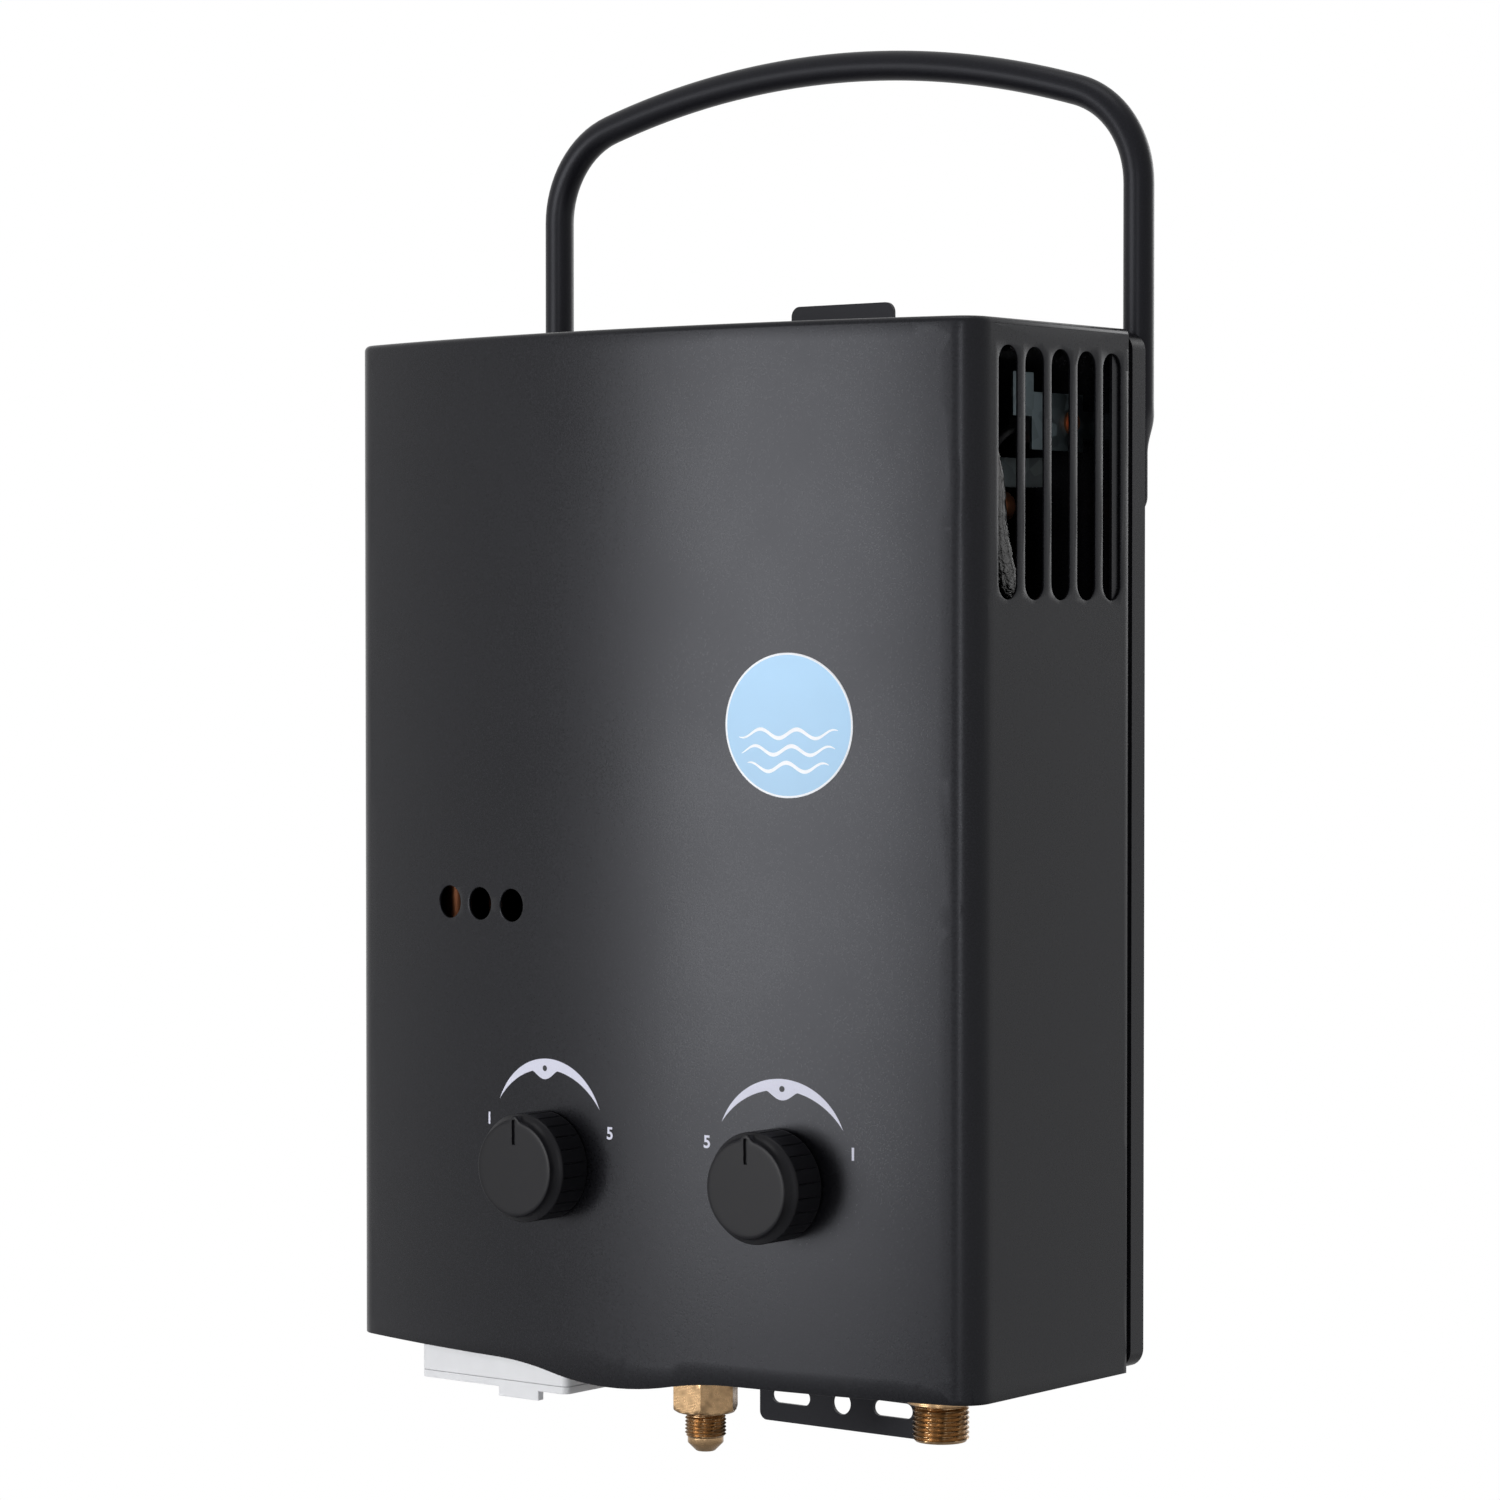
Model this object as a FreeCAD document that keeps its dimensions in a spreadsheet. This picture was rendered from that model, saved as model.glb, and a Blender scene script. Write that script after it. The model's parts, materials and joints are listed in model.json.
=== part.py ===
"""Portable propane water heater, a parametric model in millimetres.

The origin is the centre of the hanging hole, in the plane of the wall. X runs along the wall,
-Y points out of the wall towards the user and Z is up. Heights are written from the foot,
which is the lower edge of the front cover.
"""
import FreeCAD, Part
import math
import os
import re

import Sketcher
from FreeCAD import Placement, Rotation, Vector

doc = FreeCAD.newDocument("water_heater")

# Driving dimensions, kept in the sheet of the document
SIZES = [
    ("foot", -372.0, "lower edge of the cover, below the hanging hole"),
    ("cover_width", 295.0, "width of the front cover"),
    ("cover_height", 385.0, "height of the front cover"),
    ("cover_front", -120.0, "where the sides of the cover would meet its bowed front"),
    ("cover_rear", -22.8, "rear edge of the cover"),
    ("bow", 19.55, "how far the front swells out at the middle"),
    ("corner", 12.0, "radius of the upright corners of the cover"),
    ("top_bend", 2.2, "radius of the bend along the top of the cover"),
    ("sheet", 1.0, "thickness of the casing steel"),
    ("dip", 5.6, "how far the lower edge hangs down at the middle"),
    ("dip_half", 57.0, "half the width of that dip"),
    ("dip_x", -5.0, "middle of the dip"),
    ("vent_low", 285.0, "lower end of the side slots"),
    ("vent_high", 375.4, "upper end of the side slots"),
    ("vent_wide", 12.0, "width of a side slot"),
    ("vent_pitch", 16.6, "spacing of the side slots"),
    ("vent_first", -100.0, "first side slot, near the front"),
    ("view_hole", 6.2, "radius of a viewing hole"),
    ("view_high", 171.0, "height of the viewing holes"),
    ("view_pitch", 17.3, "spacing of the viewing holes"),
    ("view_first", -88.2, "first viewing hole"),
    ("flue_half", 72.0, "half the width of the exhaust opening"),
    ("flue_front", -100.0, "front edge of the exhaust opening"),
    ("flue_rear", -50.0, "rear edge of the exhaust opening"),
    ("back_face", -11.5, "rear face of the back plate"),
    ("tray_depth", 8.6, "depth of the back plate's rim"),
    ("tray_low", 0.8, "lower edge of the back plate"),
    ("tray_high", 384.2, "upper edge of the back plate"),
    ("lip_front", -32.0, "front of the lip that the cover slides over"),
    ("tube_radius", 5.75, "radius of the handle tube"),
    ("leg_x", 140.7, "handle legs from the middle"),
    ("arch_top", 492.9, "top of the handle's centre line"),
    ("arch_radius", 400.0, "radius of the handle's long arch"),
    ("shoulder_radius", 38.0, "radius of the handle's shoulders"),
    ("gas_x", -34.0, "gas knob"),
    ("water_x", 73.0, "water knob"),
    ("knob_high", 75.0, "height of both knobs"),
    ("knob_radius", 20.2, "radius of a knob"),
    ("gas_knob_base", -140.0, "rear of the gas knob"),
    ("water_knob_base", -137.7, "rear of the water knob"),
    ("knob_depth", 18.5, "length of a knob"),
    ("valve_front", -98.0, "front face of both valves"),
    ("gas_in_x", -17.6, "gas inlet"),
    ("gas_in_y", -65.0, "gas inlet, from the wall"),
    ("water_in_x", 100.6, "cold water inlet"),
    ("water_in_y", -75.0, "cold water inlet, from the wall"),
    ("hot_x", -95.0, "hot water outlet"),
    ("hot_y", -26.0, "hot water outlet, from the wall"),
    ("flare_radius", 7.94, "gas thread, 5/8 inch flare"),
    ("union_radius", 10.48, "water thread, half inch pipe"),
    ("chamber_half", 92.0, "half the width of the combustion chamber"),
    ("chamber_front", -112.0, "front of the combustion chamber"),
    ("chamber_rear", -32.0, "rear of the combustion chamber"),
    ("chamber_corner", 10.0, "radius of the chamber's upright corners"),
    ("chamber_low", 150.0, "foot of the combustion chamber"),
    ("chamber_high", 300.0, "top of the combustion chamber"),
    ("exchanger_high", 340.0, "top of the heat exchanger"),
    ("coil_tube", 6.0, "radius of the copper water tube"),
    ("box_left", -118.5, "left side of the battery box"),
    ("box_right", -44.5, "right side of the battery box"),
    ("box_front", -116.0, "front of the battery box"),
    ("box_rear", -46.0, "rear of the battery box"),
    ("lid_low", -15.5, "underside of the battery lid"),
    ("lid_thick", 3.0, "thickness of the battery lid"),
    ("pivot_y", -42.6, "battery lid hinge"),
    ("pivot_high", -14.0, "height of the battery lid hinge"),
    ("tab_half", 24.8, "half the width of the upper bracket"),
    ("foot_half", 40.5, "half the width of the lower bracket"),
    ("plate", 1.5, "thickness of the two wall brackets"),
    ("hang_radius", 5.0, "radius of the hanging hole"),
    ("slot_pitch", 50.0, "spacing of the two slots in the lower bracket"),
    ("slot_long", 19.0, "length of a slot in the lower bracket"),
    ("slot_radius", 3.0, "half the width of a slot in the lower bracket"),
    ("slot_high", -29.0, "height of the slots in the lower bracket"),
]

sheet = doc.addObject("Spreadsheet::Sheet", "Sizes")
VALUE = {}
for row, (alias, value, note) in enumerate(SIZES, start=1):
    sheet.set(f"A{row}", note)
    sheet.set(f"B{row}", str(value))
    sheet.setAlias(f"B{row}", alias)
    VALUE[alias] = value
doc.recompute()

NODES = []
WORDS = re.compile(r"\b(" + "|".join(sorted(VALUE, key=len, reverse=True)) + r")\b")
TURNS = {
    "X": Rotation(Vector(0, 1, 0), 90),
    "Y": Rotation(Vector(1, 0, 0), -90),
    "Z": Rotation(),
}


def size(alias):
    """Value of one driving dimension."""
    return VALUE[alias]


def high(height):
    """Z of a height above the foot, as an expression."""
    return f"foot + {height}"


def level(height):
    """Z of a height above the foot, as a number."""
    return size("foot") + height


def bind(thing, prop, text):
    """Bind one property to the sheet: each alias in the text becomes a reference."""
    thing.setExpression(prop, WORDS.sub(r"Sizes.\1", str(text)))


def put(thing, x, y, z, turn=None):
    """Give an object its place, bound to the sheet."""
    thing.Placement = Placement(Vector(), turn or Rotation())
    bind(thing, "Placement.Base.x", x)
    bind(thing, "Placement.Base.y", y)
    bind(thing, "Placement.Base.z", z)
    return thing


def block(x, y, z, dx, dy, dz):
    """A box from its low corner and its three sizes."""
    thing = doc.addObject("Part::Box", "block")
    bind(thing, "Length", dx)
    bind(thing, "Width", dy)
    bind(thing, "Height", dz)
    return put(thing, x, y, z)


def rod(x, y, z, radius, length, along="Z"):
    """A cylinder that starts at a point and runs along one axis."""
    thing = doc.addObject("Part::Cylinder", "rod")
    bind(thing, "Radius", radius)
    bind(thing, "Height", length)
    return put(thing, x, y, z, TURNS[along])


def cone(x, y, z, radius_low, radius_high, length, along="Z"):
    """A cone or taper that starts at a point and runs along one axis."""
    thing = doc.addObject("Part::Cone", "cone")
    bind(thing, "Radius1", radius_low)
    bind(thing, "Radius2", radius_high)
    bind(thing, "Height", length)
    return put(thing, x, y, z, TURNS[along])


def hexagon(x, y, z, radius, length, along="Z"):
    """A six-sided bar, from its radius over the corners."""
    thing = doc.addObject("Part::Prism", "hexagon")
    thing.Polygon = 6
    bind(thing, "Circumradius", radius)
    bind(thing, "Height", length)
    return put(thing, x, y, z, TURNS[along])


def join(*pieces):
    """Several touching shapes as one solid."""
    thing = doc.addObject("Part::MultiFuse", "join")
    thing.Shapes = list(pieces)
    thing.Refine = True
    return thing


def cut(base, *tools):
    """A shape with one or more others taken out of it."""
    thing = doc.addObject("Part::Cut", "cut")
    thing.Base = base
    thing.Tool = tools[0] if len(tools) == 1 else join(*tools)
    return thing


def group(*pieces):
    """Separate solids that are kept together under one name."""
    thing = doc.addObject("Part::Compound", "group")
    thing.Links = list(pieces)
    return thing


def solid(shape):
    """A shape made from the sheet's values, as an object of the document."""
    thing = doc.addObject("Part::Feature", "solid")
    thing.Shape = shape
    return thing


def node(label, thing):
    """Name a finished sub-part and put it on the list to write."""
    thing.Label = label
    NODES.append(thing)
    return thing


# Outlines, sketches and bodies

def body(name):
    """A new body for features made from sketches."""
    return doc.addObject("PartDesign::Body", name)


def sketch(owner, plane, edges, offset=0.0):
    """A sketch on one of the body's planes, moved along the plane's normal."""
    thing = owner.newObject("Sketcher::SketchObject", "outline")
    base = next(f for f in owner.Origin.OriginFeatures if f.Role == plane)
    thing.AttachmentSupport = [(base, "")]
    thing.MapMode = "FlatFace"
    thing.AttachmentOffset = Placement(Vector(0, 0, offset), Rotation())
    thing.addGeometry(list(edges), False)
    return thing


def feature(owner, kind, profile, length, **options):
    """A pad or a pocket of a sketch, with its length bound to the sheet."""
    thing = owner.newObject(kind, "feature")
    thing.Profile = profile
    if length is None:
        thing.Type = "ThroughAll"
    else:
        bind(thing, "Length", length)
    for key, value in options.items():
        setattr(thing, key, value)
    doc.recompute()
    return thing


def circle(x, y, radius):
    """A full circle for a sketch."""
    return Part.Circle(Vector(x, y, 0), Vector(0, 0, 1), radius)


def arc(start, middle, end):
    """An arc through three points."""
    return Part.Arc(Vector(*start, 0), Vector(*middle, 0), Vector(*end, 0))


def rounded(x0, y0, x1, y1, radius):
    """A rectangle with round corners."""
    near = radius * (1 - math.sqrt(0.5))
    corners = [(x0, y0, 1, 1), (x1, y0, -1, 1), (x1, y1, -1, -1), (x0, y1, 1, -1)]
    edges = []
    for x, y, sx, sy in corners:
        side = (x, y + sy * radius)
        along = (x + sx * radius, y)
        ends = (side, along) if sx * sy > 0 else (along, side)
        edges.append(arc(ends[0], (x + sx * near, y + sy * near), ends[1]))
    ring = list(edges)
    for bend, following in zip(edges, edges[1:] + edges[:1]):
        if bend.EndPoint.distanceToPoint(following.StartPoint) > 1e-6:
            ring.append(Part.LineSegment(bend.EndPoint, following.StartPoint))
    return ring


def bow_radius():
    """Radius of the bowed front, from its width and its swell."""
    half = size("cover_width") / 2
    return (half ** 2 + size("bow") ** 2) / (2 * size("bow"))


def bow_centre():
    """Y of the centre of the bowed front."""
    return size("cover_front") - size("bow") + bow_radius()


def cover_outline(inset, rear):
    """Plan view of the casing: bowed front, round corners, straight sides and rear."""
    half = size("cover_width") / 2 - inset
    bend = size("corner") - inset
    outer = bow_radius() - inset
    middle_y = bow_centre()
    centre_x = half - bend
    centre_y = middle_y - math.sqrt((outer - bend) ** 2 - centre_x ** 2)
    lean = math.atan2(centre_x, middle_y - centre_y)
    touch = (outer * math.sin(lean), middle_y - outer * math.cos(lean))
    turn = (math.pi / 2 - lean) / 2 + lean
    knee = (centre_x + bend * math.sin(turn), centre_y - bend * math.cos(turn))
    side = (half, centre_y)
    mirror = [(-x, y) for x, y in (touch, knee, side)]
    return [
        arc(mirror[0], (0, middle_y - outer), touch),
        arc(touch, knee, side),
        Part.LineSegment(Vector(half, centre_y, 0), Vector(half, rear, 0)),
        Part.LineSegment(Vector(half, rear, 0), Vector(-half, rear, 0)),
        Part.LineSegment(Vector(-half, rear, 0), Vector(-half, centre_y, 0)),
        arc(mirror[2], mirror[1], mirror[0]),
    ]


# Tubes, pipes and leads

def tangent_arc(before, corner, after, radius):
    """The arc that rounds one corner of a route, with its two ends."""
    back = (before - corner).normalize()
    ahead = (after - corner).normalize()
    half = back.getAngle(ahead) / 2
    reach = radius / math.tan(half)
    start = corner + back * reach
    end = corner + ahead * reach
    inward = (back + ahead).normalize()
    middle = corner + inward * (radius / math.sin(half) - radius)
    return start, Part.Arc(start, middle, end).toShape(), end


def route_wire(points, radii):
    """A route of straight runs joined by tangent arcs."""
    edges = []
    last = points[0]
    for index in range(1, len(points) - 1):
        before, corner, after = points[index - 1:index + 2]
        start, bend, end = tangent_arc(before, corner, after, radii[index - 1])
        if (start - last).Length > 1e-4:
            edges.append(Part.LineSegment(last, start).toShape())
        edges.append(bend)
        last = end
    edges.append(Part.LineSegment(last, points[-1]).toShape())
    return Part.Wire(edges)


def swept(wire, radius):
    """A round bar along a route."""
    edge = wire.OrderedEdges[0]
    along = edge.tangentAt(edge.FirstParameter)
    ring = Part.Circle(wire.OrderedVertexes[0].Point, along, radius)
    profile = Part.Wire([ring.toShape()])
    return wire.makePipeShell([profile], True, False)


def tube(points, bend, radius):
    """A pipe through points, every bend with the same radius."""
    route = [Vector(x, y, level(z)) for x, y, z in points]
    wire = route_wire(route, [bend] * (len(route) - 2))
    shape = swept(wire, radius)
    wanted = math.pi * radius ** 2 * wire.Length
    if abs(shape.Volume / wanted - 1) > 0.02:
        raise ValueError(f"pipe volume {shape.Volume:.0f} is not {wanted:.0f}")
    return solid(shape)


def cord(name, points, radius):
    """A limp lead, each bend as large as its two runs leave room for."""
    route = [Vector(x, y, level(z)) for x, y, z in points]
    radii = []
    for before, corner, after in zip(route, route[1:], route[2:]):
        turn = math.pi - (before - corner).getAngle(after - corner)
        run = min((before - corner).Length, (after - corner).Length)
        radii.append(0.45 * run / math.tan(turn / 2))
    wire = route_wire(route, radii)
    print(name, "length", round(wire.Length), "radii", [round(r) for r in radii])
    return solid(swept(wire, radius))


# Casing

def make_front_cover():
    """Bowed steel cover with a closed top, slots in both sides and a dipped lower edge."""
    owner = body("front_cover_body")
    low = level(-size("dip"))
    outline = sketch(owner, "XY_Plane", cover_outline(0, size("cover_rear")), low)
    pad = feature(owner, "PartDesign::Pad", outline, "cover_height + dip")
    top = level(size("cover_height"))
    rims = []
    for index, edge in enumerate(pad.Shape.Edges, start=1):
        centre = edge.CenterOfMass
        if abs(centre.z - top) < 0.01 and centre.y < size("cover_rear") - 0.5:
            rims.append(f"Edge{index}")
    bends = owner.newObject("PartDesign::Fillet", "top_bend")
    bends.Base = (pad, rims)
    bind(bends, "Radius", "top_bend")
    doc.recompute()
    opened = []
    for index, face in enumerate(bends.Shape.Faces, start=1):
        centre = face.CenterOfMass
        if abs(centre.z - low) < 0.01 or abs(centre.y - size("cover_rear")) < 0.01:
            opened.append(f"Face{index}")
    shell = owner.newObject("PartDesign::Thickness", "shell")
    shell.Base = (bends, opened)
    bind(shell, "Value", "sheet")
    shell.Reversed = True
    doc.recompute()
    cut_vents(owner)
    cut_front_holes(owner)
    cut_exhaust(owner)
    cut_lower_edge(owner)
    return owner


def cut_vents(owner):
    """Five round-ended slots through both sides."""
    edges = []
    for index in range(5):
        middle = size("vent_first") + index * size("vent_pitch")
        half = size("vent_wide") / 2
        low = level(size("vent_low"))
        top = level(size("vent_high"))
        edges += rounded(middle - half, low, middle + half, top, half)
    slots = sketch(owner, "YZ_Plane", edges)
    feature(owner, "PartDesign::Pocket", slots, None, Midplane=True)


def cut_front_holes(owner):
    """Three viewing holes and the two holes for the valve spindles."""
    edges = []
    for index in range(3):
        x = size("view_first") + index * size("view_pitch")
        edges.append(circle(x, level(size("view_high")), size("view_hole")))
    for alias in ("gas_x", "water_x"):
        edges.append(circle(size(alias), level(size("knob_high")), 6.0))
    holes = sketch(owner, "XZ_Plane", edges, 70.0)
    feature(owner, "PartDesign::Pocket", holes, None, Reversed=True)


def cut_exhaust(owner):
    """The exhaust opening in the top, and the screw holes behind it."""
    half = size("flue_half")
    edges = rounded(-half, size("flue_front"), half, size("flue_rear"), 6)
    edges += cover_screw_holes()
    mouth = sketch(owner, "XY_Plane", edges, level(size("cover_height") + 1))
    feature(owner, "PartDesign::Pocket", mouth, "8")


def cut_lower_edge(owner):
    """The lower edge: straight at both ends, with a smooth dip between."""
    half = size("dip_half")
    drop = size("dip")
    middle = size("dip_x")
    base = level(0)
    bend = ((half / 2) ** 2 + (drop / 2) ** 2) / drop
    lean = math.asin(half / 2 / bend)
    rise = bend * (1 - math.cos(lean / 2))
    run = bend * math.sin(lean / 2)
    far = 170.0
    below = base - 30.0
    left = [(middle - half, base), (middle - half + run, base - rise),
            (middle - half / 2, base - drop / 2)]
    right = [(2 * middle - x, z) for x, z in reversed(left)]
    edges = [
        Part.LineSegment(Vector(-far, base, 0), Vector(*left[0], 0)),
        arc(*left),
        arc(left[2], (middle, base - drop), right[0]),
        arc(*right),
        Part.LineSegment(Vector(*right[2], 0), Vector(far, base, 0)),
        Part.LineSegment(Vector(far, base, 0), Vector(far, below, 0)),
        Part.LineSegment(Vector(far, below, 0), Vector(-far, below, 0)),
        Part.LineSegment(Vector(-far, below, 0), Vector(-far, base, 0)),
    ]
    waste = sketch(owner, "XZ_Plane", edges)
    feature(owner, "PartDesign::Pocket", waste, None, Midplane=True)


def make_back_plate():
    """Steel tray with a rim all round, and a lip that the cover slides over."""
    half = size("cover_width") / 2
    low = level(size("tray_low"))
    top = level(size("tray_high"))
    wall = size("sheet")
    rear = -size("back_face")
    front = rear + size("tray_depth")
    owner = body("back_plate_body")
    outline = sketch(owner, "XZ_Plane", rounded(-half, low, half, top, 7), rear)
    feature(owner, "PartDesign::Pad", outline, "tray_depth")
    inner = sketch(owner, "XZ_Plane", rounded(-half + wall, low + wall, half - wall, top - wall, 6), front)
    feature(owner, "PartDesign::Pocket", inner, "tray_depth - sheet")
    play = wall + 0.1
    ring = rounded(-half + play, low + play, half - play, top - play, 5.9)
    gauge = play + 1.2
    ring += rounded(-half + gauge, low + gauge, half - gauge, top - gauge, 4.7)
    lip = sketch(owner, "XZ_Plane", ring, rear + wall)
    feature(owner, "PartDesign::Pad", lip, "back_face - sheet - lip_front")
    holes = [circle(x, level(z), 2.1) for x, z in plate_screw_places()]
    drilled = sketch(owner, "XZ_Plane", holes)
    feature(owner, "PartDesign::Pocket", drilled, None, Midplane=True)
    upper = sketch(owner, "XY_Plane", cover_screw_holes(), level(384))
    feature(owner, "PartDesign::Pocket", upper, "5")
    outlet = [circle(size("hot_x"), size("hot_y"), 9.7)]
    lower = sketch(owner, "XY_Plane", outlet, level(10))
    feature(owner, "PartDesign::Pocket", lower, "12")
    return owner


def cover_screw_holes():
    """Holes of the two screws that hold the cover's top."""
    return [circle(side * 100, -27.5, 1.75) for side in (-1, 1)]


def plate_screw_places():
    """Screws in the back plate: two on each bracket and one on each end of the handle."""
    places = []
    for side in (-1, 1):
        places.append((side * 14.0, 340.0))
        places.append((side * 28.0, 16.0))
        places.append((side * size("leg_x"), 323.7))
    return places


def make_plate_screws(places, seat):
    """Pan-head screws from behind, through the back plate."""
    pieces = []
    for x, z in places:
        shank = rod(x, "back_face - 4", high(z), 1.9, f"{seat} - back_face + 4", "Y")
        head = cone(x, f"{seat}", high(z), 3.8, 2.6, 1.9, "Y")
        pieces.append(join(shank, head))
    return group(*pieces)


def make_base_plate():
    """Floor of the casing, cut out for the fittings and the battery box."""
    owner = body("base_plate_body")
    rear = size("back_face") - size("sheet")
    outline = sketch(owner, "XY_Plane", cover_outline(7.0, rear), level(3.1))
    feature(owner, "PartDesign::Pad", outline, "1.2")
    edges = [
        circle(size("gas_in_x"), size("gas_in_y"), 10.8),
        circle(size("water_in_x"), size("water_in_y"), 9.7),
        circle(size("hot_x"), size("hot_y"), 9.7),
    ]
    edges += rounded(size("box_left") - 0.2, size("box_front") - 0.2, size("box_right") + 0.2,
                     size("box_rear") + 0.2, 3.2)
    holes = sketch(owner, "XY_Plane", edges, level(10))
    feature(owner, "PartDesign::Pocket", holes, None)
    return owner


def make_upper_bracket():
    """Stepped wall bracket with the hanging keyhole, standing above the casing."""
    owner = body("upper_bracket_body")
    wall = size("plate")
    half = size("tab_half")
    face = sketch(owner, "XZ_Plane", rounded(-half, level(352), half, level(401.5), 4))
    feature(owner, "PartDesign::Pad", face, "plate")
    step = sketch(owner, "XZ_Plane", rounded(-half, level(352), half, level(352 + wall), 0.1))
    feature(owner, "PartDesign::Pad", step, "-back_face")
    root = sketch(owner, "XZ_Plane", rounded(-half, level(330), half, level(352 + wall), 0.5),
                  -size("back_face") - wall)
    feature(owner, "PartDesign::Pad", root, "plate")
    radius = size("hang_radius")
    throat = 2.6
    shoulder = math.sqrt(radius ** 2 - throat ** 2)
    keyhole = [
        arc((throat, shoulder), (0, -radius), (-throat, shoulder)),
        Part.LineSegment(Vector(-throat, shoulder, 0), Vector(-throat, 11, 0)),
        arc((-throat, 11), (0, 11 + throat), (throat, 11)),
        Part.LineSegment(Vector(throat, 11, 0), Vector(throat, shoulder, 0)),
    ]
    mouth = sketch(owner, "XZ_Plane", keyhole, -1)
    feature(owner, "PartDesign::Pocket", mouth, "4", Reversed=True)
    holes = [circle(x, level(z), 2.1) for x, z in plate_screw_places() if z == 340.0]
    drilled = sketch(owner, "XZ_Plane", holes)
    feature(owner, "PartDesign::Pocket", drilled, None, Reversed=True)
    return owner


def make_lower_bracket():
    """Stepped wall bracket below the casing, with two slots and a round hole."""
    owner = body("lower_bracket_body")
    wall = size("plate")
    half = size("foot_half")
    step_high = 4.0
    face = sketch(owner, "XZ_Plane", rounded(-half, level(-39.4), half, level(step_high), 3.5))
    feature(owner, "PartDesign::Pad", face, "plate")
    step = sketch(owner, "XZ_Plane",
                  rounded(-half, level(step_high - wall), half, level(step_high), 0.1))
    feature(owner, "PartDesign::Pad", step, "-back_face")
    root = sketch(owner, "XZ_Plane", rounded(-half, level(step_high - wall), half, level(26), 0.5),
                  -size("back_face") - wall)
    feature(owner, "PartDesign::Pad", root, "plate")
    middle = level(size("slot_high"))
    edges = [circle(0, middle, 4.5)]
    for side in (-1, 1):
        x = side * size("slot_pitch") / 2
        reach = size("slot_long") / 2
        radius = size("slot_radius")
        edges += rounded(x - reach, middle - radius, x + reach, middle + radius, radius)
    slots = sketch(owner, "XZ_Plane", edges, -1)
    feature(owner, "PartDesign::Pocket", slots, "4", Reversed=True)
    holes = [circle(x, level(z), 2.1) for x, z in plate_screw_places() if z == 16.0]
    drilled = sketch(owner, "XZ_Plane", holes)
    feature(owner, "PartDesign::Pocket", drilled, None, Reversed=True)
    return owner


def make_handle():
    """Steel tube bent to an arch, its two ends flattened to tongues behind the back plate."""
    radius = size("tube_radius")
    y = -radius
    leg = size("leg_x")
    big = size("arch_radius")
    bend = size("shoulder_radius")
    centre_z = level(size("arch_top")) - big
    knee_x = leg - bend
    knee_z = centre_z + math.sqrt((big - bend) ** 2 - knee_x ** 2)
    lean = math.atan2(knee_x, knee_z - centre_z)
    touch = Vector(big * math.sin(lean), y, centre_z + big * math.cos(lean))
    turn = lean + (math.pi / 2 - lean) / 2
    round_point = Vector(knee_x + bend * math.sin(turn), y, knee_z + bend * math.cos(turn))
    leg_top = Vector(leg, y, knee_z)
    leg_foot = Vector(leg, y, level(358))

    def left(point):
        return Vector(-point.x, point.y, point.z)

    wire = Part.Wire([
        Part.LineSegment(left(leg_foot), left(leg_top)).toShape(),
        Part.Arc(left(leg_top), left(round_point), left(touch)).toShape(),
        Part.Arc(left(touch), Vector(0, y, centre_z + big), touch).toShape(),
        Part.Arc(touch, round_point, leg_top).toShape(),
        Part.LineSegment(leg_top, leg_foot).toShape(),
    ])
    shape = swept(wire, radius)
    for side in (-1, 1):
        shape = shape.fuse(handle_tongue(side * leg))
    return solid(shape.removeSplitter())


def handle_tongue(x):
    """The flattened end of one handle leg, with its screw hole."""
    radius = size("tube_radius")
    rear = size("back_face")
    thick = 2.4
    width = 6.6
    top = level(358)
    neck = level(342)
    ring = Part.Wire([Part.Circle(Vector(x, -radius, top), Vector(0, 0, 1), radius).toShape()])
    flat = Part.Ellipse(Vector(x, rear + thick / 2, neck), width, thick / 2)
    taper = Part.makeLoft([ring, Part.Wire([flat.toShape()])], True, True)
    tongue = Part.makeBox(2 * width, thick, 18.3, Vector(x - width, rear, level(323.7)))
    end = Part.makeCylinder(width, thick, Vector(x, rear, level(323.7)), Vector(0, 1, 0))
    hole = Part.makeCylinder(2.1, 20, Vector(x, -20, level(323.7)), Vector(0, 1, 0))
    return taper.fuse([tongue, end]).cut(hole)


def make_cover_screws():
    """Two screws that hold the rear of the cover's top to the lip."""
    pieces = []
    for side in (-1, 1):
        shank = rod(side * 100, -27.5, high(378), 1.7, "7.1")
        head = cone(side * 100, -27.5, high("cover_height"), 3.4, 2.4, 1.7)
        pieces.append(join(shank, head))
    return group(*pieces)


def make_label():
    """A round sticker that follows the bowed front."""
    outer = Part.makeCylinder(bow_radius() + 0.25, 80, Vector(0, bow_centre(), level(200)))
    inner = Part.makeCylinder(bow_radius() + 0.02, 80, Vector(0, bow_centre(), level(200)))
    punch = Part.makeCylinder(26.1, 60, Vector(75.5, -160, level(240.1)), Vector(0, 1, 0))
    return solid(punch.common(outer.cut(inner)))


# Burner, chamber and heat exchanger

def duct_plan(inset):
    """Plan of the combustion chamber: a rectangle with round corners."""
    half = size("chamber_half") - inset
    front = size("chamber_front") + inset
    rear = size("chamber_rear") - inset
    return rounded(-half, front, half, rear, size("chamber_corner") - inset)


def sheet_duct(name, low, top):
    """An open duct of thin sheet with the plan of the combustion chamber."""
    owner = body(name)
    ring = sketch(owner, "XY_Plane", duct_plan(0) + duct_plan(size("sheet")), level(low))
    feature(owner, "PartDesign::Pad", ring, f"{top} - {low}")
    return owner


def make_chamber():
    """Sheet duct over the burner, with a window behind the viewing holes."""
    duct = sheet_duct("chamber_body", size("chamber_low"), size("chamber_high"))
    window = block(-80, "chamber_front - 1", high(160), 30, 3, 22)
    bores = [rod(x, "chamber_front - 1", high(166), 3.05, 3, "Y") for x in ELECTRODES]
    return cut(duct, window, *bores)


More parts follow.
